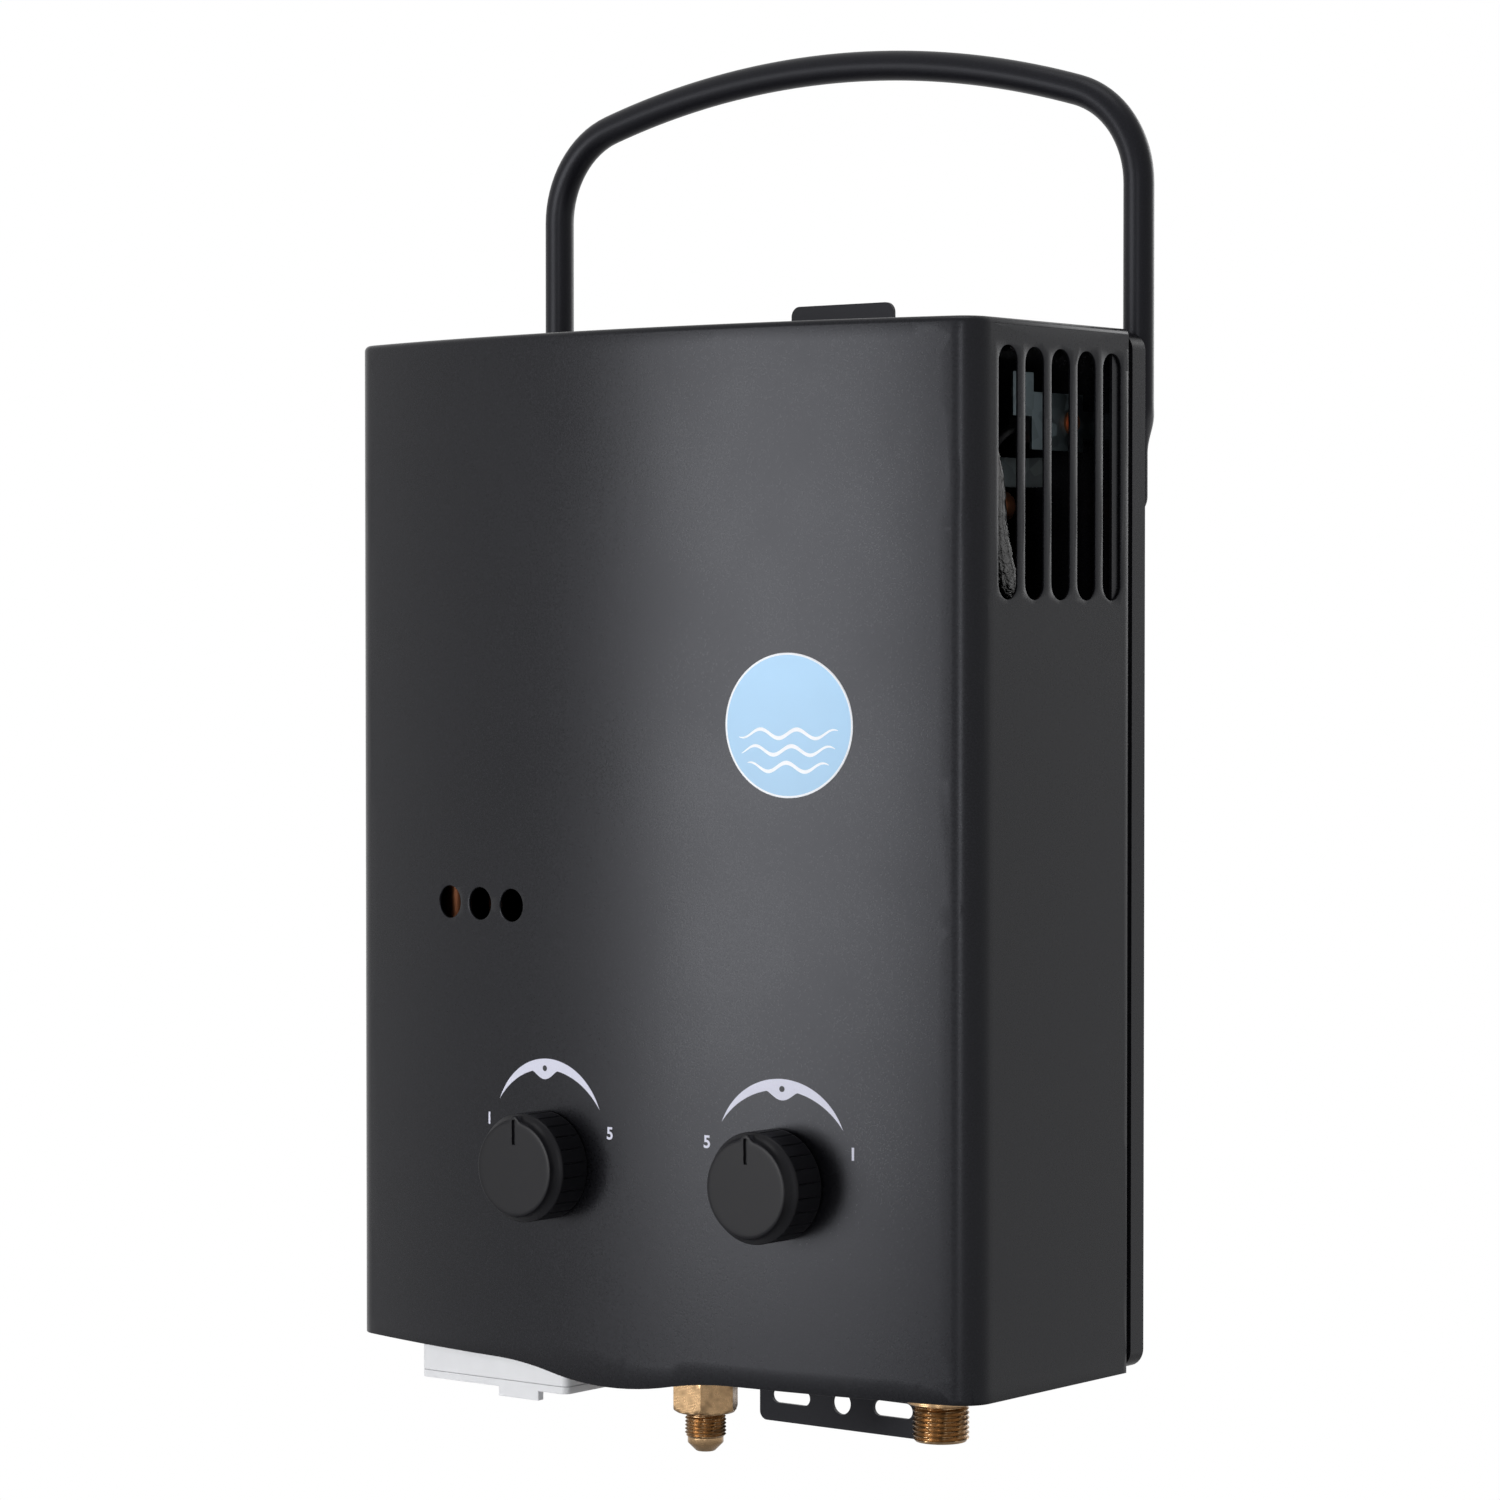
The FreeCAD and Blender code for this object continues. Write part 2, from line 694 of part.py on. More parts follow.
ELECTRODES = [40.0, 0.0]
PASSES = [-42.0, -62.0, -82.0, -102.0]


def make_exchanger_shell():
    """Frame of the heat exchanger, its end plates bored for the tube."""
    duct = sheet_duct("exchanger_body", size("chamber_high"), size("exchanger_high"))
    bores = [rod(-100, y, high(320), "coil_tube + 0.1", 200, "X") for y in PASSES]
    return cut(duct, *bores)


def make_fins():
    """Copper fins across the four passes of the tube."""
    count = 15
    pitch = 11.6
    plates = []
    for index in range(count):
        x = (index - (count - 1) / 2) * pitch - 0.5
        plates.append(block(x, "chamber_front + 1", high(303), 1.0,
                            "chamber_rear - chamber_front - 2", 34))
    bores = [rod(-100, y, high(320), "coil_tube + 0.1", 200, "X") for y in PASSES]
    return cut(group(*plates), *bores)


def make_exchanger_tube():
    """One copper tube that crosses the fins four times."""
    reach = 98.0
    points = [(-reach - 6.3, PASSES[0], 300), (-reach - 6.3, PASSES[0], 320)]
    side = 1
    for first, second in zip(PASSES, PASSES[1:]):
        points.append((side * (reach + 10), first, 320))
        points.append((side * (reach + 10), second, 320))
        side = -side
    points.append((-112, PASSES[-1], 320))
    points.append((-112, PASSES[-1], 300))
    return tube(points, 9.9, size("coil_tube"))


def make_chamber_coil():
    """One copper tube wound almost three times round the chamber, climbing as it goes."""
    gap = size("coil_tube") + 0.3
    x = size("chamber_half") + gap
    front = size("chamber_front") - gap
    rear = size("chamber_rear") + gap
    ring = [(x, front), (-x, front), (-x, rear), (x, rear)]
    climbs = [0.0, 5.0, 10.0, 30.0]
    turns = 2
    rise = 35.0
    points = [(x + 6, -46, 172), (x + 6, -46, 195)]
    for turn in range(turns + 1):
        for (px, py), climb in zip(ring, climbs):
            points.append((px, py, 195 + turn * rise + climb))
    points = points[:-2]
    points.append((-x - 6, PASSES[0], points[-1][2] + 4))
    points.append((-x - 6, PASSES[0], 300))
    report_gap(points)
    return tube(points, size("chamber_corner") + gap, size("coil_tube"))


def report_gap(points):
    """Print the least gap between neighbouring turns of the coil."""
    sides = {}
    for (x0, y0, z0), (x1, y1, z1) in zip(points[1:], points[2:-2]):
        key = (round((x0 + x1) / 2), round((y0 + y1) / 2 / 30))
        sides.setdefault(key, []).append((z0 + z1) / 2)
    gaps = [b - a - 2 * size("coil_tube") for z in sides.values() for a, b in zip(z, z[1:])]
    print("least gap between turns of the coil", round(min(gaps), 1))


def make_flue_hood():
    """Tapered hood that carries the exhaust to the opening in the top."""
    return cut(hood_wedge(0, 0), hood_wedge(1.0, 0.5))


def hood_wedge(wall, past):
    """A tapered block, from the plan of the exchanger to that of the exhaust opening."""
    thing = doc.addObject("Part::Wedge", "taper")
    low = f"foot + exchanger_high - {past}"
    bind(thing, "Xmin", f"-(chamber_half - {wall})")
    bind(thing, "Xmax", f"chamber_half - {wall}")
    bind(thing, "Zmin", f"-(chamber_rear - {wall})")
    bind(thing, "Zmax", f"-(chamber_front + {wall})")
    bind(thing, "Ymin", "0")
    bind(thing, "Ymax", f"43.5 + {2 * past}")
    bind(thing, "X2min", f"-(flue_half - {wall})")
    bind(thing, "X2max", f"flue_half - {wall}")
    bind(thing, "Z2min", f"-(flue_rear - {wall})")
    bind(thing, "Z2max", f"-(flue_front + {wall})")
    return put(thing, 0, 0, low, Rotation(Vector(1, 0, 0), 90))


def make_chamber_brackets():
    """Angle brackets that hold the chamber and the exchanger to the back plate."""
    pieces = []
    for height in (154, 328):
        for side in (-1, 1):
            x = side * 92 if side > 0 else -93.2
            web = block(x, "chamber_rear - 20", high(height), 1.2,
                        "back_face - sheet - chamber_rear + 20", 11)
            foot = block(x if side > 0 else -105.2, "back_face - sheet - 1.2", high(height),
                         13.2, 1.2, 11)
            pieces.append(join(web, foot))
    return group(*pieces)


def make_burner_tray():
    """Open tray under the chamber that carries the burner bars."""
    owner = sheet_duct("burner_tray_body", 114, size("chamber_low"))
    floor = sketch(owner, "XY_Plane", duct_plan(0), level(114))
    feature(owner, "PartDesign::Pad", floor, "sheet")
    jets = [rod(x, "chamber_front - 1", high(124), 3.6, 4, "Y") for x in bar_places()]
    return cut(owner, *jets)


def bar_places():
    """X of the middle of each burner bar."""
    return [(index - 3) * 23.0 for index in range(7)]


def make_burner_bars():
    """Seven pressed burner bars, each with a throat for its gas jet and a row of ports."""
    bars = []
    for x in bar_places():
        web = block(x - 2.0, -106, high(115), 4.0, 70, 27)
        crown = rod(x, -106, high(142), 4.5, 70, "Y")
        throat = rod(x, -106, high(124), 6.5, 24, "Y")
        bore = rod(x, -107, high(124), 5.0, 20, "Y")
        ports = [block(x - 0.8, -102 + 13 * step, high(144), 1.6, 8, 5) for step in range(5)]
        bars.append(cut(join(web, crown, throat), bore, *ports))
    return group(*bars)


def make_manifold():
    """Gas tube along the front of the burner, with a brass jet at each bar."""
    pipe = rod(-82, -121, high(124), 7, 164, "X")
    feet = [block(side * 60 - 5, -115, high(128), 10, 3, 12) for side in (-1, 1)]
    return join(pipe, *feet)


def make_jets():
    """Brass jets that blow gas into the burner bars."""
    jets = []
    for x in bar_places():
        nut = hexagon(x, -113.9, high(124), 3.4, 2.0, "Y")
        nose = cone(x, -111.9, high(124), 2.6, 1.4, 5.0, "Y")
        jets.append(join(nut, nose))
    return group(*jets)


# Valves and fittings

def make_gas_valve():
    """Gas valve: cast block with a spindle boss, an inlet neck and an outlet."""
    centre = "knob_high"
    blk = block(-54, "valve_front", high(52), 52, 42, 46)
    boss = rod("gas_x", "valve_front - 6", high(centre), 12, 8, "Y")
    neck = rod("gas_in_x", "gas_in_y", high(14), 12.5, 40)
    outlet = rod("gas_x", -90, high(97), 7.5, 3)
    bore = rod("gas_x", "valve_front - 8", high(centre), 4.05, 30, "Y")
    return cut(join(blk, boss, neck, outlet), bore)


def make_gas_inlet():
    """Brass gas inlet: flare nose, thread and chamfered hexagon."""
    x, y = "gas_in_x", "gas_in_y"
    nose = cone(x, y, high(-40.6), 3.6, 6.9, 3.3)
    band = rod(x, y, high(-37.3), 6.9, 2.4)
    thread = rod(x, y, high(-35.0), "flare_radius", 10)
    hexa = hexagon(x, y, high(-25.5), 13.3, 17.5)
    taper = cone(x, y, high(-25.5), 11.0, 15.5, 2.6)
    drum = rod(x, y, high(-22.9), 15.5, 20)
    collar = rod(x, y, high(-8.0), 10.5, 22)
    bore = rod(x, y, high(-42), 2.4, 40)
    facets = doc.addObject("Part::Common", "chamfered")
    facets.Base = hexa
    facets.Tool = join(taper, drum)
    return cut(join(nose, band, thread, facets, collar), bore)


def make_gas_pipe():
    """Short pipe from the gas valve up to the manifold."""
    x = size("gas_x")
    points = [(x, -90, 100), (x, -90, 107), (x, -121, 107), (x, -121, 119.0)]
    seat = rod("gas_x - 20", -121, high(124), 7.0, 40, "X")
    return cut(tube(points, 6.0, 4.5), seat)


def make_solenoid():
    """Safety shut-off coil on the left of the gas valve."""
    coil = rod(-78, -77, high(75), 12, 24, "X")
    cap = rod(-81, -77, high(75), 9, 3, "X")
    return join(coil, cap)


def make_water_valve():
    """Water valve: brass block with a spindle boss, an inlet neck and half the diaphragm case."""
    centre = "knob_high"
    blk = block(43, "valve_front", high(52), 71, 44, 46)
    boss = rod("water_x", "valve_front - 6", high(centre), 12, 8, "Y")
    case = rod(33, -76, high(centre), 31, 11, "X")
    neck = rod("water_in_x", "water_in_y", high(8), 12.0, 46)
    outlet = rod(104, -62, high(97), 9, 7)
    bore = rod("water_x", "valve_front - 8", high(centre), 4.05, 30, "Y")
    return cut(join(blk, boss, case, neck, outlet), bore)


def make_diaphragm_cover():
    """The other half of the diaphragm case, which guides the link rod."""
    disc = rod(22, -76, high("knob_high"), 31, 11, "X")
    hub = rod(16, -76, high("knob_high"), 8, 7, "X")
    bore = rod(15, -76, high("knob_high"), 3.06, 14, "X")
    return cut(join(disc, hub), bore)


def make_link_rod():
    """Rod that the diaphragm pushes against the gas valve when water flows."""
    shaft = rod(4, -76, high("knob_high"), 3.0, 20.0, "X")
    tip = cone(3, -76, high("knob_high"), 2.0, 3.0, 1.0, "X")
    return join(shaft, tip)


def make_case_screws():
    """Six screws round the diaphragm case."""
    screws = []
    for index in range(6):
        angle = math.radians(60 * index + 30)
        y = -76 + 26.5 * math.cos(angle)
        z = size("knob_high") + 26.5 * math.sin(angle)
        screws.append(rod(19.6, y, high(z), 3.0, 2.4, "X"))
    return group(*screws)


def make_water_union(x, y, seat, top):
    """Brass water connection: threaded end, flange under the floor and plain spigot."""
    thread = rod(x, y, high(-22.9), "union_radius", 15)
    shoulder = rod(x, y, high(-9.0), 12.4, f"{seat} + 9")
    spigot = rod(x, y, high(-4), 9.5, f"{top} + 4")
    bore = rod(x, y, high(-24), 7.2, 26)
    return cut(join(thread, shoulder, spigot), bore)


def make_cold_pipe():
    """Cold water from the valve up to the coil."""
    x = size("chamber_half") + size("coil_tube") + 6.3
    points = [(104, -62, 104), (104, -62, 130), (x, -46, 150), (x, -46, 172)]
    return tube(points, 14.0, size("coil_tube"))


def make_hot_pipe():
    """Hot water from the exchanger down to the outlet."""
    hot_x = size("hot_x")
    hot_y = size("hot_y")
    points = [(-112, PASSES[-1], 300), (-112, PASSES[-1], 80), (hot_x, hot_y, 50), (hot_x, hot_y, 12)]
    return tube(points, 20.0, size("coil_tube"))


def make_pipe_nuts():
    """Union nuts where the water pipes meet."""
    places = [
        (size("chamber_half") + size("coil_tube") + 6.3, -46, 166),
        (-112, PASSES[-1], 294),
        (-size("chamber_half") - size("coil_tube") - 6.3, PASSES[0], 294),
    ]
    nuts = []
    for x, y, z in places:
        nut = hexagon(x, y, high(z), 9.4, 12)
        bore = rod(x, y, high(z - 1), "coil_tube + 0.05", 14)
        nuts.append(cut(nut, bore))
    return group(*nuts)


# Controls

def make_spindle(x, base):
    """Valve spindle, which turns with its knob."""
    return rod(x, f"{base} - 9", high("knob_high"), 4.0, f"valve_front + 25 - {base}", "Y")


def make_knob(x, base):
    """Turned knob with a chamfered face, a ribbed grip and a pointer ridge."""
    face = f"{base} - knob_depth"
    grip = rod(x, f"{face} + 2.2", high("knob_high"), "knob_radius", "knob_depth - 2.2", "Y")
    edge = cone(x, face, high("knob_high"), "knob_radius - 2.2", "knob_radius", 2.2, "Y")
    socket = rod(x, f"{base} - 9", high("knob_high"), 4.0, 12, "Y")
    hollow = rod(x, f"{base} - 5", high("knob_high"), 17.6, 6, "Y")
    hub = rod(x, f"{base} - 6", high("knob_high"), 7.0, 6, "Y")
    notch = block(f"{x} - 0.9", f"{face} - 1", high("knob_high + 9"), 1.8, 1.8, 12)
    grooves = []
    for index in range(24):
        angle = 2 * math.pi * index / 24 + math.pi / 24
        gx = f"{x} + knob_radius * {math.cos(angle):.5f}"
        gz = high(f"knob_high + knob_radius * {math.sin(angle):.5f}")
        grooves.append(rod(gx, f"{face} + 5", gz, 0.8, 16, "Y"))
    skirt = cut(join(grip, edge), hollow, notch, *grooves)
    return cut(join(skirt, hub), socket)


# Electrics

def make_battery_box():
    """White plastic box for two cells, open underneath, with hinge ears behind."""
    width = "box_right - box_left"
    depth = "box_rear - box_front"
    low = "lid_low + lid_thick"
    outer = body("battery_box_body")
    edges = rounded(size("box_left"), size("box_front"), size("box_right"), size("box_rear"), 3)
    outline = sketch(outer, "XY_Plane", edges, level(size("lid_low") + size("lid_thick")))
    feature(outer, "PartDesign::Pad", outline, "37")
    inner = block("box_left + 1.5", "box_front + 1.5", high(f"{low} - 1"), f"{width} - 3",
                  f"{depth} - 3", 36.5)
    flange = block("box_left - 4", "box_front + 6", high(4.3), f"{width} + 8", f"{depth} - 12", 1.6)
    ears = []
    for x in ("box_left + 8", "box_right - 14"):
        arm = block(x, "box_rear - 0.1", high("pivot_high - 0.5"), 6, "pivot_y - box_rear + 0.1", 5.5)
        knuckle = rod(x, "pivot_y", high("pivot_high"), 2.6, 6, "X")
        ears.append(join(arm, knuckle))
    pin = rod("box_left", "pivot_y", high("pivot_high"), 1.5, width, "X")
    return cut(join(outer, flange, *ears), inner, pin)


def make_battery_lid():
    """Lid under the battery box, with a knuckle behind and a finger tab in front."""
    owner = body("battery_lid_body")
    edges = rounded(size("box_left"), size("box_front"), size("box_right"), size("box_rear") - 0.6, 3)
    outline = sketch(owner, "XY_Plane", edges, level(size("lid_low")))
    feature(owner, "PartDesign::Pad", outline, "lid_thick - 0.15")
    arm = block("box_left + 24", "box_rear - 2", high("pivot_high - 1.5"), "box_right - box_left - 48",
                "pivot_y - box_rear + 2", 2.85)
    knuckle = rod("box_left + 24", "pivot_y", high("pivot_high"), 2.5, "box_right - box_left - 48", "X")
    tab = block("box_left + 40", "box_front", high("lid_low - 3.6"), 20, 3.2, 4)
    pin = rod("box_left", "pivot_y", high("pivot_high"), 1.56, "box_right - box_left", "X")
    return cut(join(owner, arm, knuckle, tab), pin)


CELLS = [-97.7, -64.3]


def make_cells():
    """Two large round cells side by side, each with its raised terminal."""
    cells = []
    for y in CELLS:
        can = rod("box_left + 3.6", y, high(6.0), 16.6, 60.0, "X")
        cap = rod("box_left + 63.6", y, high(6.0), 4.8, 1.5, "X")
        cells.append(join(can, cap))
    return group(*cells)


def make_contacts():
    """Contact plates at the two ends of the cells."""
    plates = []
    for y in CELLS:
        plates.append(block("box_left + 1.5", y - 6, high(0), 2.0, 12, 12))
        plates.append(block("box_left + 65.2", y - 6, high(0), 7.2, 12, 12))
    return group(*plates)


def make_igniter():
    """Igniter module on the back plate, with a finned lid."""
    case = block(118, -44, high(60), 24, 31.5, 62)
    lid = block(120, -46, high(64), 20, 2.2, 54)
    return join(case, lid)


def make_electrode(x, bent):
    """Ceramic rod through the chamber wall, with a wire tip over the burner."""
    ceramic = rod(x, -121, high(166), 3.0, 20.5, "Y")
    tip = rod(x, -101, high(166), 0.9, bent, "Y")
    return join(ceramic, tip)


def make_cutoff_bracket():
    """Galvanised plate near the side slots that carries the overheat switch."""
    plate = block(129, -60, high(340), 1.2, 33, 21)
    tongue = block(129, -72, high(352), 1.2, 13, 16)
    arm = block(129, -28, high(345), 1.2, "back_face - sheet + 28", 10)
    foot = block(118, "back_face - sheet - 1.2", high(345), 12.2, 1.2, 10)
    hole = rod(128, -35, high(350.5), 2.1, 4, "X")
    return cut(join(plate, tongue, arm, foot), hole)


def make_cutoff():
    """Overheat switch on the inner side of its bracket."""
    can = rod(121, -50, high(350), 7, 8, "X")
    tags = [block(117, -50 + 4 * side - 1.5, high(348), 4.2, 3, 4) for side in (-1, 1)]
    return join(can, *tags)


def make_cutoff_screw():
    """Screw with a copper washer in the bracket of the overheat switch."""
    shank = rod(127.5, -35, high(350.5), 2.0, 3, "X")
    washer = rod(130.2, -35, high(350.5), 4.4, 0.8, "X")
    head = rod(130.2, -35, high(350.5), 2.9, 2.2, "X")
    return join(shank, washer, head)


def make_cable_bundle():
    """Taped bundle of leads that runs down behind the side slots."""
    points = [(122, -104, 366), (128, -96, 350), (132, -88, 332), (129, -82, 308), (132, -76, 284),
              (131, -70, 262), (131, -70, 240), (132, -62, 214), (130, -50, 188), (129, -37, 162),
              (130, -30, 142), (130, -30, 122)]
    return cord("cable_bundle", points, 5.0)


def make_cable_clip():
    """Strap from the back plate that holds the taped bundle."""
    strap = block(124.8, -70, high(249.5), 1.2, "back_face - sheet + 70", 3)
    foot = block(112.8, "back_face - sheet - 1.2", high(246), 13, 1.2, 10)
    ring = rod(131, -70, high(249.5), 6.4, 3)
    bore = rod(131, -70, high(249), 5.05, 4)
    return cut(join(strap, foot, ring), bore)


def make_cutoff_leads():
    """Lead from the overheat switch forward and down to the bundle."""
    points = [(117, -50, 350), (112, -56, 344), (113, -66, 336), (119, -76, 326), (123.5, -82.5, 312),
              (122.5, -84, 296)]
    return cord("cutoff_lead", points, 1.6)


def make_ignition_lead():
    """High-voltage lead from the module to the electrode."""
    points = [(130, -46, 100), (130, -62, 100), (129, -80, 108), (122, -99, 124), (108, -114, 142),
              (90, -122, 156), (71, -127, 164), (54, -131.5, 166), (40, -133, 166), (40, -121, 166)]
    return cord("ignition_lead", points, 1.25)


def make_all():
    """Every sub-part, in the order of a strip-down."""
    node("front_cover", make_front_cover())
    node("back_plate", make_back_plate())
    node("base_plate", make_base_plate())
    node("upper_bracket", make_upper_bracket())
    node("lower_bracket", make_lower_bracket())
    bracket_places = [p for p in plate_screw_places() if abs(p[0]) < 100]
    handle_places = [p for p in plate_screw_places() if abs(p[0]) > 100]
    node("bracket_screws", make_plate_screws(bracket_places, "(back_face + plate)"))
    node("carry_handle", make_handle())
    node("handle_screws", make_plate_screws(handle_places, "(back_face + 2.4)"))
    node("cover_screws", make_cover_screws())
    node("label_disc", make_label())
    node("flue_hood", make_flue_hood())
    node("exchanger_shell", make_exchanger_shell())
    node("exchanger_fins", make_fins())
    node("exchanger_tube", make_exchanger_tube())
    node("combustion_chamber", make_chamber())
    node("chamber_coil", make_chamber_coil())
    node("chamber_brackets", make_chamber_brackets())
    node("burner_tray", make_burner_tray())
    node("burner_bars", make_burner_bars())
    node("gas_manifold", make_manifold())
    node("gas_jets", make_jets())
    node("gas_pipe", make_gas_pipe())
    node("gas_valve", make_gas_valve())
    node("gas_inlet", make_gas_inlet())
    node("safety_solenoid", make_solenoid())
    node("water_valve", make_water_valve())
    node("diaphragm_cover", make_diaphragm_cover())
    node("diaphragm_screws", make_case_screws())
    node("link_rod", make_link_rod())
    node("micro_switch", block(-2, -88, high(81), 17, 10, 14))
    node("water_inlet", make_water_union("water_in_x", "water_in_y", 3.1, 8))
    node("hot_outlet", make_water_union("hot_x", "hot_y", 0.8, 12))
    node("cold_pipe", make_cold_pipe())
    node("hot_pipe", make_hot_pipe())
    node("pipe_nuts", make_pipe_nuts())
    node("gas_spindle", make_spindle("gas_x", "gas_knob_base"))
    node("water_spindle", make_spindle("water_x", "water_knob_base"))
    node("gas_knob", make_knob("gas_x", "gas_knob_base"))
    node("water_knob", make_knob("water_x", "water_knob_base"))
    node("battery_box", make_battery_box())
    node("battery_lid", make_battery_lid())
    node("lid_pin", rod("box_left + 8", "pivot_y", high("pivot_high"), 1.5, "box_right - box_left - 16", "X"))
    node("battery_cells", make_cells())
    node("battery_contacts", make_contacts())
    node("igniter_module", make_igniter())
    node("ignition_electrode", make_electrode(ELECTRODES[0], 30))
    node("flame_sensor", make_electrode(ELECTRODES[1], 22))
    node("cutoff_bracket", make_cutoff_bracket())
    node("cutoff_switch", make_cutoff())
    node("cutoff_screw", make_cutoff_screw())
    node("cable_bundle", make_cable_bundle())
    node("cable_clip", make_cable_clip())
    node("cutoff_lead", make_cutoff_leads())
    node("ignition_lead", make_ignition_lead())


make_all()
doc.recompute()
for thing in doc.Objects:
    if "Invalid" in thing.State or "Error" in thing.State:
        raise RuntimeError(f"{thing.Name} ({thing.Label}) failed: {thing.State}")
os.makedirs("parts", exist_ok=True)
for thing in NODES:
    shape = thing.Shape
    if shape.isNull() or not shape.isValid() or not shape.Solids:
        raise RuntimeError(f"{thing.Label} has no valid solid")
    shape.exportStep(f"parts/{thing.Label}.step")
print("sub-parts", len(NODES))
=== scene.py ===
"""Looks of a portable propane water heater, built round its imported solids.

The file is laid out as an add-on and runs as a script. Shapes are worked out in millimetres in
the frame of the solids: the origin is the hanging hole, X runs along the wall, -Y points to the
user and Z is up. Heights are measured from the foot of the front cover.
"""
import json
import math
from functools import cache

import bmesh
import bpy
from bpy.props import FloatProperty, FloatVectorProperty, IntProperty, PointerProperty
from mathutils import Matrix, Vector


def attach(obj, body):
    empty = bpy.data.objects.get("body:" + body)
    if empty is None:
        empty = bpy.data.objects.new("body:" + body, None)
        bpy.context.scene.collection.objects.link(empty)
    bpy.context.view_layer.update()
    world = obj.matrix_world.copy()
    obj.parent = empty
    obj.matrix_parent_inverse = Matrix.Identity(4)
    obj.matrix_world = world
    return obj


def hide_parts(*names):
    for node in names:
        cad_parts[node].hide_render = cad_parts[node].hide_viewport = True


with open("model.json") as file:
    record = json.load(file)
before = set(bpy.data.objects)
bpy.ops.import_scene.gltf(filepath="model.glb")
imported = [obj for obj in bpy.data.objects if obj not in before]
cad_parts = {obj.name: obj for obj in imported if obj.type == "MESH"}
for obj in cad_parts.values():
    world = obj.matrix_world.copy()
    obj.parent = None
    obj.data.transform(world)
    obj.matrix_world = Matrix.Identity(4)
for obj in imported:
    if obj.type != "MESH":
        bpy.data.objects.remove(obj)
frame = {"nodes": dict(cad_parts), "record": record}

bl_info = {
    "name": "Water heater",
    "version": (1, 0, 0),
    "blender": (4, 5, 0),
    "location": "View3D > Sidebar > Heater",
    "description": "Builds the pieces, finishes and stage of a portable water heater",
    "category": "Object",
}

MM = 0.001

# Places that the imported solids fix, in millimetres
FOOT = -372.0                      # lower edge of the cover, from which heights are measured
COVER_FRONT, COVER_REAR = -120.0, -22.8
BACK_FACE = -11.5                  # rear of the back plate
LEG_X, LEG_SCREW = 140.7, 323.7    # legs of the handle, and the height of their screws
GAS_X, WATER_X, KNOB_HIGH = -34.0, 73.0, 75.0
LABEL_X, LABEL_HIGH = 75.5, 240.1
SLOT_FIRST, SLOT_PITCH = -100.0, 16.6  # middle of the foremost side slot, and their spacing
COVER_SCREWS = ((-100, -27.5), (100, -27.5))

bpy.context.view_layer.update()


def linear(text):
    """A colour written as sRGB hex, as linear red, green and blue."""
    parts = [int(text[i:i + 2], 16) / 255 for i in (1, 3, 5)]
    return tuple(p / 12.92 if p <= 0.04045 else ((p + 0.055) / 1.055) ** 2.4 for p in parts)


def length_value(name, description, millimetres):
    """A length that the user can change, in metres with its default in millimetres."""
    return FloatProperty(name=name, description=description, default=millimetres * MM,
                         unit="LENGTH", precision=4, min=0.0)


def colour_value(name, description, text):
    """A colour that the user can change, with its default as sRGB hex."""
    return FloatVectorProperty(name=name, description=description, default=linear(text),
                               subtype="COLOR", size=3, min=0.0, max=1.0)


class HeaterCasing(bpy.types.PropertyGroup):
    """Sizes of the folded casing, its handle and its prints."""
    cover_width: length_value("Cover width", "Width of the front cover", 295.0)
    cover_height: length_value("Cover height", "Height of the front cover", 385.0)
    bow: length_value("Bow", "How far the front swells out at the middle", 19.55)
    corner: length_value("Corner radius", "Radius of the upright corners", 12.0)
    top_bend: length_value("Top bend", "Radius of the bend along the top", 2.2)
    sheet: length_value("Sheet", "Thickness of the casing steel", 1.0)
    edge: length_value("Edge rounding", "Rounding that the coating leaves on a cut edge", 0.22)
    dip: length_value("Dip", "How far the lower edge hangs down", 5.6)
    tube_radius: length_value("Handle tube", "Radius of the handle tube", 5.75)
    label_radius: length_value("Label radius", "Radius of the round sticker", 26.1)
    wave_count: IntProperty(name="Label waves", description="Plain wave lines on the sticker",
                            default=3, min=0, max=8)


class HeaterControls(bpy.types.PropertyGroup):
    """Sizes of the knobs and the brass connections."""
    knob_radius: length_value("Knob radius", "Radius of a knob's grip", 20.2)
    knob_face: length_value("Knob face", "Radius of a knob's flat face", 17.6)
    knob_depth: length_value("Knob depth", "Length of a knob", 18.5)
    groove_count: IntProperty(name="Grip grooves", description="Grooves round a knob's grip",
                              default=24, min=6, max=60)
    groove_depth: length_value("Groove depth", "Depth of a grip groove", 0.55)
    gas_pitch: length_value("Gas thread pitch", "Pitch of 18 threads to the inch", 1.411)
    water_pitch: length_value("Water thread pitch", "Pitch of 14 threads to the inch", 1.814)
    fin_count: IntProperty(name="Fins", description="Copper fins of the heat exchanger",
                           default=43, min=10, max=80)


class HeaterColours(bpy.types.PropertyGroup):
    """Colours of the finishes."""
    casing: colour_value("Casing", "Powder coat of the cover", "#121215")
    handle: colour_value("Handle", "Powder coat of the handle and brackets", "#16161a")
    knob: colour_value("Knobs", "Moulded plastic of the knobs", "#19191c")
    brass: colour_value("Brass", "Machined brass", "#a58866")
    copper: colour_value("Copper", "Drawn copper tube", "#9c6548")
    zinc: colour_value("Galvanised", "Galvanised sheet", "#9aa0a2")
    label: colour_value("Label", "Printed vinyl", "#8fbbdd")
    print_ink: colour_value("Print", "Ink of the dials", "#cfd0e0")
    battery_box: colour_value("Battery box", "Moulded white plastic", "#d9dadd")


# Finishes

